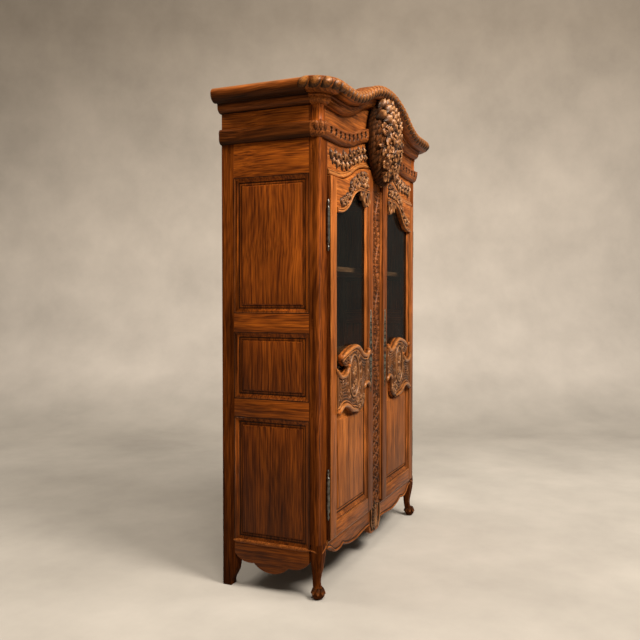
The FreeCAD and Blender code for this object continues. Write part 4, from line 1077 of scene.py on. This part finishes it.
def chain(ground):
    """Flowers in oval rings, one above the other, with leaves beside them."""
    pitch = 64.0
    ring = ray(np.linspace(0, 2 * math.pi, 28)) * [40, 30]
    for index in range(int((strip_turn - strip_foot) / pitch)):
        centre = np.array([0, strip_foot + pitch * (index + 0.5)])
        stroke(ground, centre + ring, width=10, rise=strip_rise + 6, taper=False)
        rosette(ground, centre, radius=25, petals=6, rise=strip_rise + 7, turn=0.2)
        for way in (-1, 1):
            base = centre + [way * 36, -pitch / 2]
            tip = base + [way * 24, pitch * 0.62]
            leaf(ground, base, tip, width=20, rise=strip_rise + 7, bend=way * 0.15)
            base = centre + [way * 42, pitch * 0.18]
            tip = centre + [way * 64, -pitch * 0.2]
            leaf(ground, base, tip, width=18, rise=strip_rise + 6, bend=way * 0.15)


def muntin_carving():
    """Raised carving down the middle post: a leafy vine above, flowers in rings below, between fillets."""
    for name, cut, low, high in (("vine", vine, strip_turn, strip_top),
                                 ("chain", chain, strip_foot, strip_turn)):
        ground = Ground((-strip_half, strip_half), (low, high), strip_step)
        ground.height[:] = strip_rise
        cut(ground)
        shape = hollow_rescaled(carving(ground, post_face), 0.13, 0.75)
        piece("muntin_" + name, shape, "carved_red", "case")
    path = [(70.0, strip_foot - 4), (70.0, strip_top + 8)]
    for side, name in SIDES:
        shape = sweep(path, post_face, half_round(8, 13), side=side)
        piece(name + "_muntin_fillet", shape, "front_upright", "case")


def middle_rail_path():
    """Outline of a door's middle rail, as distances from the cabinet's middle: lower edge, then upper."""
    def at(x, height):
        """Place at a height over the rail's lower edge at its ends."""
        return (x, band_bottom + height)

    middle = meeting_inner + sight_width * 0.473
    low, crest = at(middle, -138), at(middle, 183)
    swell = at(meeting_inner + sight_width * 0.796, -99)
    throat, claw = at(hinge_inner - 137, 93), at(hinge_inner - 52, 134)
    dip = at(meeting_inner + 44.5, 130)
    curl = arc(at(meeting_inner, -45), at(meeting_inner + 70.5, -45), 0.355)
    lower = np.concatenate([arc(at(meeting_inner + 70.5, -103), low, -0.17), rise_between(low, swell)[1:],
                            rise_between(swell, at(hinge_inner, -125))[1:]])
    scoop = arc(at(hinge_inner, 90), throat, 0.29)
    upper = np.concatenate([arc(claw, crest, -0.05), rise_between(crest, dip)[1:],
                            rise_between(dip, at(meeting_inner, 153))[1:]])
    return np.concatenate([curl, lower, scoop, arc(throat, claw, -0.225), upper]), curl, lower, scoop, upper


oval_centre = np.array([355.0, 961.0])
oval_size = np.array([62.0, 100.0])
ripple_pitch = 14.0


def rippled_ground(outline):
    """Ground of the middle rail's carving: ripples that follow its outline and the oval."""
    ground = Ground((meeting_inner, hinge_inner), (band_bottom - 145, band_bottom + 190), rail_step)
    x, z = ground.grid
    inside = inside_outline(ground, outline)
    _, edge_gap = near(x, z, np.concatenate([outline, outline[:1]]))
    share = np.hypot((x - oval_centre[0]) / oval_size[0], (z - oval_centre[1]) / oval_size[1])
    gap = np.minimum(np.abs(edge_gap), np.abs((share - 1) * oval_size.mean()))
    ground.height = np.where(inside, 3.0 + 2.6 * np.cos(2 * math.pi * gap / ripple_pitch), ground.below)
    return ground, inside


def oval_flowers(ground):
    """An oval ring with flowers and leaves in it, and leaves to both sides of it."""
    ring = ray(np.linspace(0, 2 * math.pi, 60)) * oval_size
    stroke(ground, oval_centre + ring, width=11, rise=9, taper=False)
    for x, z, radius, petals, rise, turn in ((0, 22, 34, 7, 11, 0.2), (-15, -34, 25, 6, 10, 0.0),
                                             (17, -54, 22, 6, 10, 0.5), (-8, -76, 15, 5, 9, 0.9)):
        rosette(ground, oval_centre + [x, z], radius, petals, rise, turn)
    for angle in math.pi * np.linspace(0.1, 0.9, 9):
        base = oval_centre + [0, 24] + [14, 22] * ray(angle)
        leaf(ground, base, base + 32 * ray(angle), width=13, rise=8, bend=0.12)
    for way in (-1, 1):
        for angle in np.linspace(-1.0, 1.0, 7):
            base = oval_centre + [way * 74, 110] * ray(angle)
            tip = base + [way * 40 * math.cos(angle * 0.7), 34 * math.sin(angle) + 12]
            leaf(ground, base, tip, width=17, rise=9.0, bend=way * 0.18)


def middle_rail_carving():
    """Scrolled rims round a ground of carved lines, with an oval of flowers, on each door's middle rail."""
    outline, curl, lower, scoop, upper = middle_rail_path()
    ground, inside = rippled_ground(outline)
    oval_flowers(ground)
    for index, place in enumerate(np.array([[252, 822], [285, 806], [228, 846], [268, 850], [306, 834]])):
        rosette(ground, place, 20 - 2 * (index % 2), petals=6, rise=10, turn=index * 0.4)
    plain = ground.height
    stems = ([meeting_inner, band_bottom] + arc((22, 108), (36, -8), -0.12, 16),
             [hinge_inner, band_bottom] + arc((-22, -62), (-58, 42), 0.15, 16))
    foot = lower[9:]
    rims = (("crest", inset(upper, 8), 24, 17), ("foot", inset(foot, 9), 24, 16),
            ("curl", inset(curl, 8), 20, 15), ("scoop", inset(scoop, 9), 22, 15),
            ("crest_line", inset(upper, 26), 8, 9), ("foot_line", inset(foot, 27), 8, 9))
    knobs = ((upper[0] + [14, 2], 15), (scoop[-1] + [-6, -6], 11), (lower[-1] + [-13, 10], 13),
             (upper[-1] + [12, -6], 12))
    for side, name in SIDES:
        body = name + "_door"
        ground.height = plain.copy()
        for stem, size in zip(stems, (30, 32)):
            spray(ground, stem, size, width=12, rise=8, gap=18)
        shape = hollow_rescaled(carving(ground, door_face, side, 1, inside), 0.06, 0.55)
        piece(name + "_middle_rail_carving", shape, "carved", body)
        for rim, path, width, rise in rims:
            scale = ends(len(path), taper=0.12, least=0.35)
            bead("%s_middle_rail_%s" % (name, rim), path, door_face, width, rise, body, side, scale)
        for number, ((x, z), radius) in enumerate(knobs, 1):
            shape = ball(np.array([side * x, door_face - 4, z]), radius, 14, 9)[:2]
            piece("%s_scroll_end_%d" % (name, number), shape, "front_level", body)


def apron_drop():
    """An upright acanthus leaf on the drop of the apron, below a small flower."""
    half, foot = 72, apron_foot
    ground = Ground((-half, half), (foot + 2, muntin_foot + 12), leaf_step)
    for way in (-1, 1):
        for index in range(6):
            base = np.array([way * 4.0, foot + 14 + 15 * index])
            tip = base + [way * (50 - 5 * index), 24 + 3 * index]
            leaf(ground, base, tip, width=20, rise=9, bend=way * 0.22)
        scroll = arc((way * 64, foot + 136), (way * 40, foot + 16), way * 0.14)
        stroke(ground, scroll, width=10, rise=9)
        berry(ground, (way * 34, muntin_foot - 8), radius=8, rise=8)
    leaf(ground, (0, foot + 8), (0, foot + 112), width=28, rise=11, bend=0.0)
    rosette(ground, (0, muntin_foot - 8), radius=18, petals=8, rise=9)
    x, z = ground.grid
    inside = np.abs(x) < half - np.maximum(foot + 50 - z, 0) * 0.66
    piece("apron_leaf", carving(ground, post_face, bed=6, inside=inside), "carved", "case")


# Cornice

cornice_end = half_width - corner_round
corner_points = 10
lobe_half, corner_lobe_half, lobe_pitch = 22.0, 25.0, 43.0
hole_pitch = 56.0


def cornice_path(bottom, rise, x):
    """Path of a front moulding through places x and round both corners: points, ways out and ways up."""
    turn = np.linspace(0, math.pi / 2, corner_points)
    left_out = np.stack([-np.cos(turn), -np.sin(turn), 0 * turn], 1)
    left = corner_round * left_out + [-cornice_end, post_face + corner_round, bottom]
    path = np.stack([x, ogee(x, cornice_run, 0, bottom, bottom + rise)], 1)
    out, up = front_frames(path)
    front = np.stack([x, np.full(len(x), post_face), path[:, 1]], 1)
    points, outs = (np.concatenate([corner[:-1], middle, (corner * [-1.0, 1, 1])[::-1][1:]])
                    for corner, middle in ((left, front), (left_out, out)))
    level = np.tile([0.0, 0, 1], (corner_points - 1, 1))
    return points, outs, np.concatenate([level, up, level])


def row_tree():
    """Node tree that sets copies of one shape along a path, each turned to follow it."""
    tree = bpy.data.node_groups.new("row_along_path", "GeometryNodeTree")
    for label, kind in (("Path", "NodeSocketGeometry"), ("Shape", "NodeSocketObject"),
                        ("Spacing", "NodeSocketFloat"), ("Finish", "NodeSocketMaterial")):
        tree.interface.new_socket(label, in_out="INPUT", socket_type=kind)
    tree.interface.new_socket("Row", in_out="OUTPUT", socket_type="NodeSocketGeometry")
    given = add(tree, "NodeGroupInput").outputs
    places = add(tree, "GeometryNodeCurveToPoints", {"Curve": given["Path"], "Length": given["Spacing"]},
                 {"mode": "LENGTH"}).outputs
    turned = add(tree, "FunctionNodeAlignRotationToVector", {"Vector": places["Tangent"]}, {"axis": "X"})
    shape = add(tree, "GeometryNodeObjectInfo", {"Object": given["Shape"]})
    copies = add(tree, "GeometryNodeInstanceOnPoints",
                 {"Points": places["Points"], "Instance": shape.outputs["Geometry"],
                  "Rotation": turned.outputs["Rotation"]})
    solid = add(tree, "GeometryNodeRealizeInstances", {"Geometry": copies.outputs["Instances"]})
    painted = add(tree, "GeometryNodeSetMaterial",
                  {"Geometry": solid.outputs["Geometry"], "Material": given["Finish"]})
    add(tree, "NodeGroupOutput", {"Row": painted.outputs["Geometry"]})
    return tree


rows_along = row_tree()


def line_through(curve, places, closed=False):
    """Adds a straight-sided line through places, in millimetres, to a curve."""
    spline = curve.splines.new("POLY")
    spline.points.add(len(places) - 1)
    for point, place in zip(spline.points, np.asarray(places) * MM):
        point.co = (*place, 1)
    spline.use_cyclic_u = closed


def seen_mesh(thing):
    """Mesh of a thing as its modifiers and bevels leave it. The thing itself is removed."""
    made = bpy.data.meshes.new_from_object(thing.evaluated_get(bpy.context.evaluated_depsgraph_get()))
    bpy.data.objects.remove(thing)
    return made


def row(name, path, shape, spacing, finish, body):
    """A row of one shape along a path of points, as a plain mesh."""
    pattern = bpy.data.objects.new(name + "_shape", shape_mesh(name + "_shape", *shape))
    curve = bpy.data.curves.new(name + "_path", "CURVE")
    curve.dimensions = "3D"
    line_through(curve, path)
    carrier = bpy.data.objects.new(name + "_path", curve)
    for thing in (pattern, carrier):
        bpy.context.scene.collection.objects.link(thing)
    modifier = carrier.modifiers.new("row", "NODES")
    modifier.node_group = rows_along
    values = {"Shape": pattern, "Spacing": spacing * MM, "Finish": finishes[finish]}
    for item in rows_along.interface.items_tree:
        if item.in_out == "INPUT" and item.name in values:
            modifier[item.identifier] = values[item.name]
    made = seen_mesh(carrier)
    made.name = name
    bpy.data.objects.remove(pattern)
    settle(name, made, body)


def gadroon(half):
    """One lobe of the crown's edge: a swelling that wraps round the rounded nose and narrows behind."""
    nose, swelling = 26.0, 11.0
    angles = np.radians(np.linspace(-82, 112, 13))[:, None]
    t = np.linspace(-1, 1, 9)[None, :]
    taper = np.clip(np.cos((angles - 0.35) * 0.8), 0.15, 1)
    bulge = nose - 3 + swelling * taper * np.sqrt(1 - (t * 0.98) ** 2)
    x = half * t * (0.55 + 0.45 * taper) + 9 * (angles - 0.3)
    top = np.stack([x, -bulge * np.cos(angles), bulge * np.sin(angles)], -1)
    inner = top * np.array([1, 0.6, 0.6])
    # Painted shade: darker between the lobes and under the nose, and dark on the inner face
    deep = np.clip(np.abs(t) ** 3 * 0.9 + 0.6 * np.clip(0.2 - angles, 0, 1), 0, 1)
    hollow = np.concatenate([deep, np.ones_like(deep)], axis=1).ravel()
    return (*tube(np.concatenate([top, inner[:, ::-1]], axis=1)), hollow)


def crown_edge():
    """The lobed edge of the front crown, with wider lobes round both corners, and two thin beads below."""
    points, outs, ups = cornice_path(crown_bottom, crown_rise, np.linspace(-cornice_end, cornice_end, 160))
    path = points + outs * 68 + ups * 73
    for name, part, half in (("left_corner", path[:11], corner_lobe_half), ("front", path[9:-9], lobe_half),
                             ("right_corner", path[-11:], corner_lobe_half)):
        row(name + "_gadroons", part, gadroon(half), lobe_pitch, "carved_pale", "case")
    for number, out, up, radius in ((1, 10, 3, 4.5), (2, 38, 34, 5)):
        shape = round_bar(points + outs * out + ups * up, outs, ups, radius)
        piece("crown_bead_%d" % number, shape, "front_level", "case")


def architrave_section(face, shoulder, bulge):
    """Section of the architrave as (out, up) points: a hollow, points of its face and a rounded shoulder."""
    out, tall = architrave_overhang, architrave_height
    hollow = section_arc((out * 0.3, 0), (out * 0.72, tall * 0.1), (out, tall * 0.4), 8)
    top = section_arc((out, tall * shoulder), (out * 0.93, tall * bulge), (out * 0.62, tall), 8)
    return np.concatenate([[[-6, 0]], hollow, face, top, [[-6, tall]]])


def drilled_architrave():
    """The front architrave with its pairs of drilled holes, a round one above a leaf-shaped one."""
    tall = architrave_height
    face_heights = np.linspace(tall * 0.42, tall * 0.72, 18)
    face = np.stack([np.full(18, architrave_overhang + 0.6), face_heights], 1)
    section = architrave_section(face, 0.74, 0.93)
    out, height = section[:, :1], section[None, :, 1]
    centres = np.arange(-11.5, 12) * hole_pitch
    places = [np.linspace(-cornice_end, cornice_end, 60)] + [c + np.linspace(-18, 18, 19) for c in centres]
    x = np.unique(np.round(np.concatenate(places), 2))
    points, outs, ups = cornice_path(case_top, architrave_rise, x)
    far = np.full(corner_points - 1, 9e3)
    along = np.concatenate([-far, x, far])[:, None]
    gap = along - centres[np.abs(along[..., None] - centres).argmin(-1)]
    leaf_height = height - tall * 0.48
    round_hole = np.hypot(gap / 10.5, (height - tall * 0.70) / 6.5)
    leaf_hole = np.hypot((gap - leaf_height * 0.6) / 9.5, leaf_height / 8.0)
    deep = np.clip(1.3 - np.minimum(round_hole, leaf_hole), 0, 1) ** 0.5 * 12.0 * (out.T > 20)
    rings = points[:, None] + outs[:, None] * (out - deep[..., None]) + ups[:, None] * section[:, 1:]
    # Painted shade in the drilled holes, darker the deeper they go
    hollow = np.clip(deep / 6.0, 0, 1) + 0.16
    piece("drilled_architrave", (*tube(rings), hollow.ravel()), "carved_red", "case",
          ["cornice_front_architrave"])


def side_mouldings():
    """The crown and architrave along both sides: a full round nose, painted paler on top and darker in its
    hollows, as painted light and shade.
    """
    out, tall = crown_overhang, crown_height
    crown = np.concatenate([
        [[-6, 0]], section_arc((out * 0.08, 0), (out * 0.28, tall * 0.06), (out * 0.38, tall * 0.28), 6),
        [[out * 0.39, tall * 0.38]],
        section_arc((out * 0.45, tall * 0.41), (out * 0.92, tall * 0.49), (out, tall * 0.70), 8),
        section_arc((out, tall * 0.70), (out * 0.93, tall * 0.91), (out * 0.74, tall), 8)[1:], [[-6, tall]]])
    # Painted light and shade by height on each section: dark low down and in the hollow under the nose, paler
    # on top
    crown_shade = ([0, 0.04, 0.28, 0.37, 0.44, 0.58, 0.76, 1], [0.9, 0.34, 0.24, 0.9, 0.75, 0.5, 0.2, 0.02])
    architrave = architrave_section(np.empty((0, 2)), 0.6, 0.88)
    architrave_shade = ([0, 0.3, 0.7, 1], [0.85, 0.52, 0.4, 0.3])
    for node, section, painted_shade in (("cornice_side_crowns", crown, crown_shade),
                               ("cornice_side_architraves", architrave, architrave_shade)):
        low, high = span(node)
        hollow = np.interp(section[:, 1] / section[-1, 1], *painted_shade)
        rings = np.array([np.insert(section + [half_width, low[2]], 1, y, axis=1)
                          for y in np.linspace(post_face + corner_round, high[1], 3)])
        moulding = (*tube(rings), np.tile(hollow, len(rings)))
        both = joined([flipped(moulding, side) for side, _ in SIDES])
        piece("waxed_" + node, both, "carved_side", "case", [node])


def corner_capitals():
    """A slim column up each rounded corner of the frieze, and leaves that wrap the architrave below it."""
    foot, head = case_top + 60, crown_bottom
    turns = ((foot, 26), (foot + 10, 27), (foot + 14, 23), (foot + 18, 21), (head - 16, 21), (head - 12, 25),
             (head + 12, 25))
    for side, name in SIDES:
        axis = [side * (half_width - 17), post_face + 17]
        rings = [np.insert(axis + radius * ray(round_turn(24)), 2, z, axis=1) for z, radius in turns]
        piece(name + "_corner_column", tube(np.array(rings)), "side_upright", "case")
        leaves = []
        for lift, length, width, count, out_by in ((14, 50, 24, 4, 19), (24, 42, 20, 3, 23)):
            for index in range(count):
                angle = math.radians(15 + 60 * (index + 0.5) / count)
                out = np.array([side * math.cos(angle), -math.sin(angle), 0])
                middle = [side * cornice_end, post_face + corner_round, case_top + lift]
                base, way = middle + out * (corner_round + out_by), out * 3 + [0, 0, length]
                leaves.append(blade(base, way, out, width, curl=0.07, thick=8.0, rounded=4))
        shape = hollow_rescaled(joined(leaves), 0.1, 0.8)
        piece(name + "_corner_capital", shape, "carved_red", "case")


# Legs and base

def slices(node, levels):
    """Lowest and highest corner of a node's points near each level."""
    points = np.array([v.co for v in frame["nodes"][node].data.vertices]) / MM
    groups = [points[np.abs(points[:, 2] - level) < 14] for level in levels]
    return np.array([group.min(0) for group in groups]), np.array([group.max(0) for group in groups])


def cord(place, radius):
    """A round bead through places, narrower at its ends."""
    ahead = unit(np.gradient(place, axis=0))
    beside = unit(np.cross(ahead, [0.0, -1.0, 0.15]))
    return round_bar(place, beside, np.cross(ahead, beside), radius * ends(len(place), taper=0.1, least=0.3))


def toe_leaves(low, high):
    """Leaves that hang round the left toe, whose lowest and highest corners are given."""
    toe = (low + high) / 2 * [1, 1, 0] + [0, 0, 31]
    radius = (high - low)[0] / 2
    leaves = []
    for angle in math.radians(20) + round_turn(8):
        level = np.array([*ray(angle), 0])
        start = toe + radius * (level * 0.66 + [0, 0, 0.70])
        end = toe + radius * (level * 0.97 + [0, 0, -0.25])
        leaves.append(blade(start, end - start, level + [0, 0, 0.3], 19, curl=0.09, thick=5.0, rounded=2.4))
    return hollow_rescaled(joined(leaves), 0.1, 0.8)


def legs():
    """Beads down each front leg and along the side, a crease at its knee and leaves on its toe."""
    levels = np.linspace(70, 230, 9)
    low, high = slices("front_left_post", levels)
    toe_low, toe_high = slices("front_left_post", [28.0])
    toe = toe_leaves(toe_low[0], toe_high[0])
    inner = np.stack([high[:, 0] - 7, low[:, 1] + 7, levels], 1)
    x, y, _ = low[-1]
    knee = np.array([[x + 1, -134.5, 219], [x + 1, -158, 215], [x + 4, y + 16, 209], [x + 16, y + 4, 205],
                     [-690, y + 1, 209], [-668, y + 1, 217], [-646, y + 3, 224]])
    base = np.array([[-half_width + 2, y, 216] for y in np.linspace(-140, 250, 60)])
    for side, name in SIDES:
        for part, path, radius, finish in (("leg", inner, 5.0, "side_worn_upright"),
                                           ("knee", knee, 4.0, "front_level"),
                                           ("base", base, 9.0, "front_level")):
            shape = flipped(cord(path, radius), -side)
            piece("%s_%s_bead" % (name, part), shape, finish, "case")
        piece(name + "_toe_leaves", flipped(toe, -side), "carved_red", "case")


def apron_edge(places):
    """Lowest height of the front bottom rail's face at each place along it."""
    mesh = frame["nodes"]["front_bottom_rail"].data
    points = np.array([v.co for v in mesh.vertices]) / MM
    edges = np.array([edge.vertices for edge in mesh.edges])
    on_face = np.abs(points[:, 1] - post_face) < 0.6
    edges = edges[on_face[edges].all(1)]
    start, end = points[edges[:, 0]], points[edges[:, 1]]
    heights = []
    for place in places:
        hit = ((np.minimum(start[:, 0], end[:, 0]) <= place)
               & (np.maximum(start[:, 0], end[:, 0]) >= place + 1e-3))
        share = (place - start[hit, 0]) / (end[hit, 0] - start[hit, 0])
        heights.append((start[hit, 2] + share * (end[hit, 2] - start[hit, 2])).min())
    return np.array(heights)


def apron_beads():
    """A rubbed bead along the scalloped edge of the apron, a thin dark strip above it as painted shade, and a
    bead under the doors.
    """
    outer, inner = -634.0, -84.0
    x = np.linspace(outer, inner, 130)
    edge = apron_edge(x)
    top = np.stack([[outer, -360.0, inner], np.full(3, muntin_foot - 9)], 1)
    for side, name in SIDES:
        # The cut is a thin dark strip above the edge bead: painted shade
        for part, lift, width, rise, finish in (("edge", 7, 9, 5, "front_level"),
                                                ("cut", 15, 7, 1.2, "grime_and_shade")):
            shape = sweep(np.stack([x, edge + lift], 1), post_face, half_round(width, rise), side=-side)
            piece("%s_apron_%s" % (name, part), shape, finish, "case")
        bead(name + "_apron_top_bead", top, post_face, 8, 5, "case", -side)


# Ironwork

# Shares of an escutcheon's half width at shares of its half height, and the weights that round them off
plate_edge = ((0, 0.85), (0.06, 1), (0.13, 0.6), (0.22, 0.92), (0.32, 0.55), (0.42, 0.8), (0.52, 0.46),
              (0.62, 0.68), (0.72, 0.38), (0.8, 0.52), (0.88, 0.26), (0.95, 0.3), (1, 0.03))
plate_blur = (0.1, 0.22, 0.36, 0.22, 0.1)


def plate_outline(wide, half):
    """Scrolled outline of an escutcheon of a half width and half height."""
    t = np.linspace(0, 1, 70)
    edge = np.interp(t, *zip(*plate_edge))
    edge = np.convolve(np.pad(edge, 2, mode="edge"), plate_blur, "valid") * wide
    right = np.concatenate([np.stack([edge, t * half], 1)[::-1], np.stack([edge, -t * half], 1)[1:]])
    return np.concatenate([right, (right * [-1, 1])[::-1]])


def piercings(wide, half):
    """Holes of an escutcheon: pairs of slanting ovals, and round holes between them."""
    circle = ray(round_turn(14))
    holes = []
    for share in (0.2, 0.38, 0.57, 0.76):
        reach = np.interp(share, *zip(*plate_edge)) * wide
        for up in (-1, 1):
            for way in (-1, 1):
                cos, sin = ray(way * up * 0.5)
                oval = circle * [0.28 * reach, 12.0] @ np.array([[cos, sin], [-sin, cos]])
                holes.append(oval + [way * reach * 0.45, up * share * half])
    for share in (0.1, -0.29, 0.29, -0.47, 0.47, -0.66, 0.66):
        holes.append(4.4 * circle + [0, share * half])
    return holes


def pierced_plate(name, rings, middle):
    """A thin plate with an outline and holes, stood upright at its middle."""
    curve = bpy.data.curves.new(name, "CURVE")
    curve.dimensions = "2D"
    curve.fill_mode = "BOTH"
    curve.extrude = 0.7 * MM
    curve.bevel_depth = 0.3 * MM
    for ring in rings:
        line_through(curve, np.pad(ring, [(0, 0), (0, 1)]), closed=True)
    flat = bpy.data.objects.new(name, curve)
    bpy.context.scene.collection.objects.link(flat)
    made = seen_mesh(flat)
    points = np.array([v.co for v in made.vertices])
    made.vertices.foreach_set("co", (points[:, [0, 2, 1]] + middle * MM).astype(np.float32).ravel())
    shape = bmesh.new()
    shape.from_mesh(made)
    bmesh.ops.remove_doubles(shape, verts=shape.verts, dist=0.001 * MM)
    shape.to_mesh(made)
    shape.free()
    outward(made)
    made.materials.clear()
    made.materials.append(finishes["escutcheon"])
    return made


def plate_ground(outline, keyhole, middle):
    """Dark waxed iron that shows through the piercings of a plate, open at the keyhole."""
    z = outline[:, 1]
    parts = []
    for half in (outline[z >= keyhole[:, 1].max() + 1], outline[z <= keyhole[:, 1].min() - 1]):
        rings = np.array([np.insert(half, 1, depth, axis=1) for depth in (0.2, 1.6)])
        parts.append((*tube(rings + [middle[0], door_face - 1.0, middle[2]]), 0.0))
    return joined(parts)[:2]


def escutcheons():
    """Long pierced plates round the keyholes, cut to a scrolled outline, over a dark ground."""
    low, high = span("left_door_escutcheon")
    wide, _, half = (high - low) / 2
    outline = plate_outline(wide, half)
    keyhole = np.concatenate([4.2 * ray(np.linspace(-1.0, 4.14, 12)), [[-2.2, -14], [2.2, -14]]])
    rings = [outline, keyhole] + piercings(wide, half)
    for _, name in SIDES:
        node = name + "_door_escutcheon"
        middle = sum(span(node)) / 2
        plate = pierced_plate(name + "_escutcheon", rings, middle)
        settle(name + "_pierced_escutcheon", plate, name + "_door", [node])
        shape = plate_ground(outline * [0.93, 0.985], keyhole * 1.1, middle)
        piece(name + "_escutcheon_ground", shape, "lock", name + "_door")


# Stage, light and camera

# Painted light on the wall: lighter at the height of the doors, darker towards the top
wall_stops = [(0.0, "#afa89d"), (0.1, "#c8bfb3"), (0.45, "#c7bdb0"), (0.95, "#a89c8d")]
cloud_stops = [(0.3, 0.86), (0.7, 1.09)]
cloud_size = 770.0


def plaster():
    """Pale limewashed plaster: painted lighter at the height of the doors than above, as a painted falloff of
    the light, and slightly clouded.
    """
    material, tree, shader, place = new_material("pale_plaster")
    height = add(tree, "ShaderNodeSeparateXYZ", {"Vector": place}).outputs["Z"]
    share = add(tree, "ShaderNodeMapRange", {"Value": height, "From Max": 5.0}).outputs["Result"]
    wash = add(tree, "ShaderNodeValToRGB", {"Fac": share}, stops=wall_stops).outputs["Color"]
    cloud = add(tree, "ShaderNodeTexNoise",
                {"Vector": place, "Scale": per_metre(cloud_size), "Detail": 6.0, "Roughness": 0.62})
    shade = add(tree, "ShaderNodeValToRGB", {"Fac": cloud.outputs["Fac"]}, stops=cloud_stops).outputs["Color"]
    colour = add(tree, "ShaderNodeMix", {SHARE: 1.0, UNDER: wash, OVER: shade}, shaded).outputs[COLOUR]
    finished(tree, shader, {"Base Color": colour}, Roughness=0.9, Specular_IOR_Level=0.1)
    return material


def backdrop():
    """A pale floor that curves up into a wall, square to the camera's view. Sizes are in metres."""
    floor_end, bend = 3.2, 2.2
    steps = [(-9, 0), (floor_end, 0)]
    for angle in np.linspace(0.15, math.pi / 2, 10):
        steps.append((floor_end + bend * math.sin(angle), bend * (1 - math.cos(angle))))
    steps.append((floor_end + bend, 9))
    forward, across = np.array([0.916, 0.40]), np.array([0.40, -0.916])
    points = [(*(forward * run + across * wide), z) for run, z in steps for wide in (-4.9, 4.15)]
    faces = [(2 * i, 2 * i + 1, 2 * i + 3, 2 * i + 2) for i in range(len(steps) - 1)]
    mesh = bpy.data.meshes.new("backdrop")
    mesh.from_pydata(points, [], faces)
    mesh.shade_smooth()
    mesh.materials.append(plaster())
    thing = bpy.data.objects.new("backdrop", mesh)
    bpy.context.scene.collection.objects.link(thing)


def soft_light(name, place, aim, size, power, colour, mirrored=True):
    """A round lamp. One that isn't mirrored only fills shadows, and leaves no bright patch on the wax."""
    light = bpy.data.lights.new(name, "AREA")
    light.shape = "DISK"
    light.size = size
    light.energy = power
    light.color = linear(colour)[:3]
    thing = bpy.data.objects.new(name, light)
    thing.location = place
    way = unit(np.array(aim) - np.array(place))
    thing.rotation_euler = (math.acos(-way[2]), 0, math.atan2(-way[0], way[1]))
    thing.visible_glossy = mirrored
    bpy.context.scene.collection.objects.link(thing)


def light():
    """Window light from high in front, with fills for the cabinet's side, the wall and the floor behind."""
    soft_light("window_light", (-1.5, -3.9, 5.2), (0, 0, 1.2), 2.2, 440, "#fff8f0")
    soft_light("side_light", (-2.9, -1.2, 5.3), (-0.7, 0, 1.5), 1.6, 115, "#fff6ec", mirrored=False)
    soft_light("wall_light", (0.5, -3.0, 4.6), (4.9, 1.4, 1.0), 2.0, 150, "#fffaf5")
    soft_light("floor_light", (-0.7, 3.2, 4.6), (-0.6, 1.6, 0.0), 2.2, 140, "#fff8f0", mirrored=False)
    world = bpy.data.worlds.new("studio")
    bpy.context.scene.world = world
    world.use_nodes = True
    sky = world.node_tree.nodes["Background"].inputs
    sky["Color"].default_value = linear("#efe6d8")
    sky["Strength"].default_value = 0.17
    bpy.context.scene.view_settings.view_transform = "Standard"


def camera():
    """The camera, where the one fitted to the photograph stands: off the left corner, at eye height."""
    lens = bpy.data.cameras.new("camera")
    lens.sensor_width = 36.0
    lens.lens = 41.5
    thing = bpy.data.objects.new("camera", lens)
    thing.location = (-3.650, -1.470, 1.330)
    yaw, pitch = math.radians(66.41), math.radians(-1.68)
    thing.rotation_euler = (math.pi / 2 + pitch, 0, -yaw)
    bpy.context.scene.collection.objects.link(thing)
    bpy.context.scene.camera = thing


for make in (worn_boards, panel_dark, top_rail_sprays, door_top_carving, cartouche, muntin_carving,
             middle_rail_carving, apron_drop, crown_edge, legs, apron_beads, drilled_architrave,
             side_mouldings, corner_capitals, escutcheons, backdrop, light, camera):
    make()
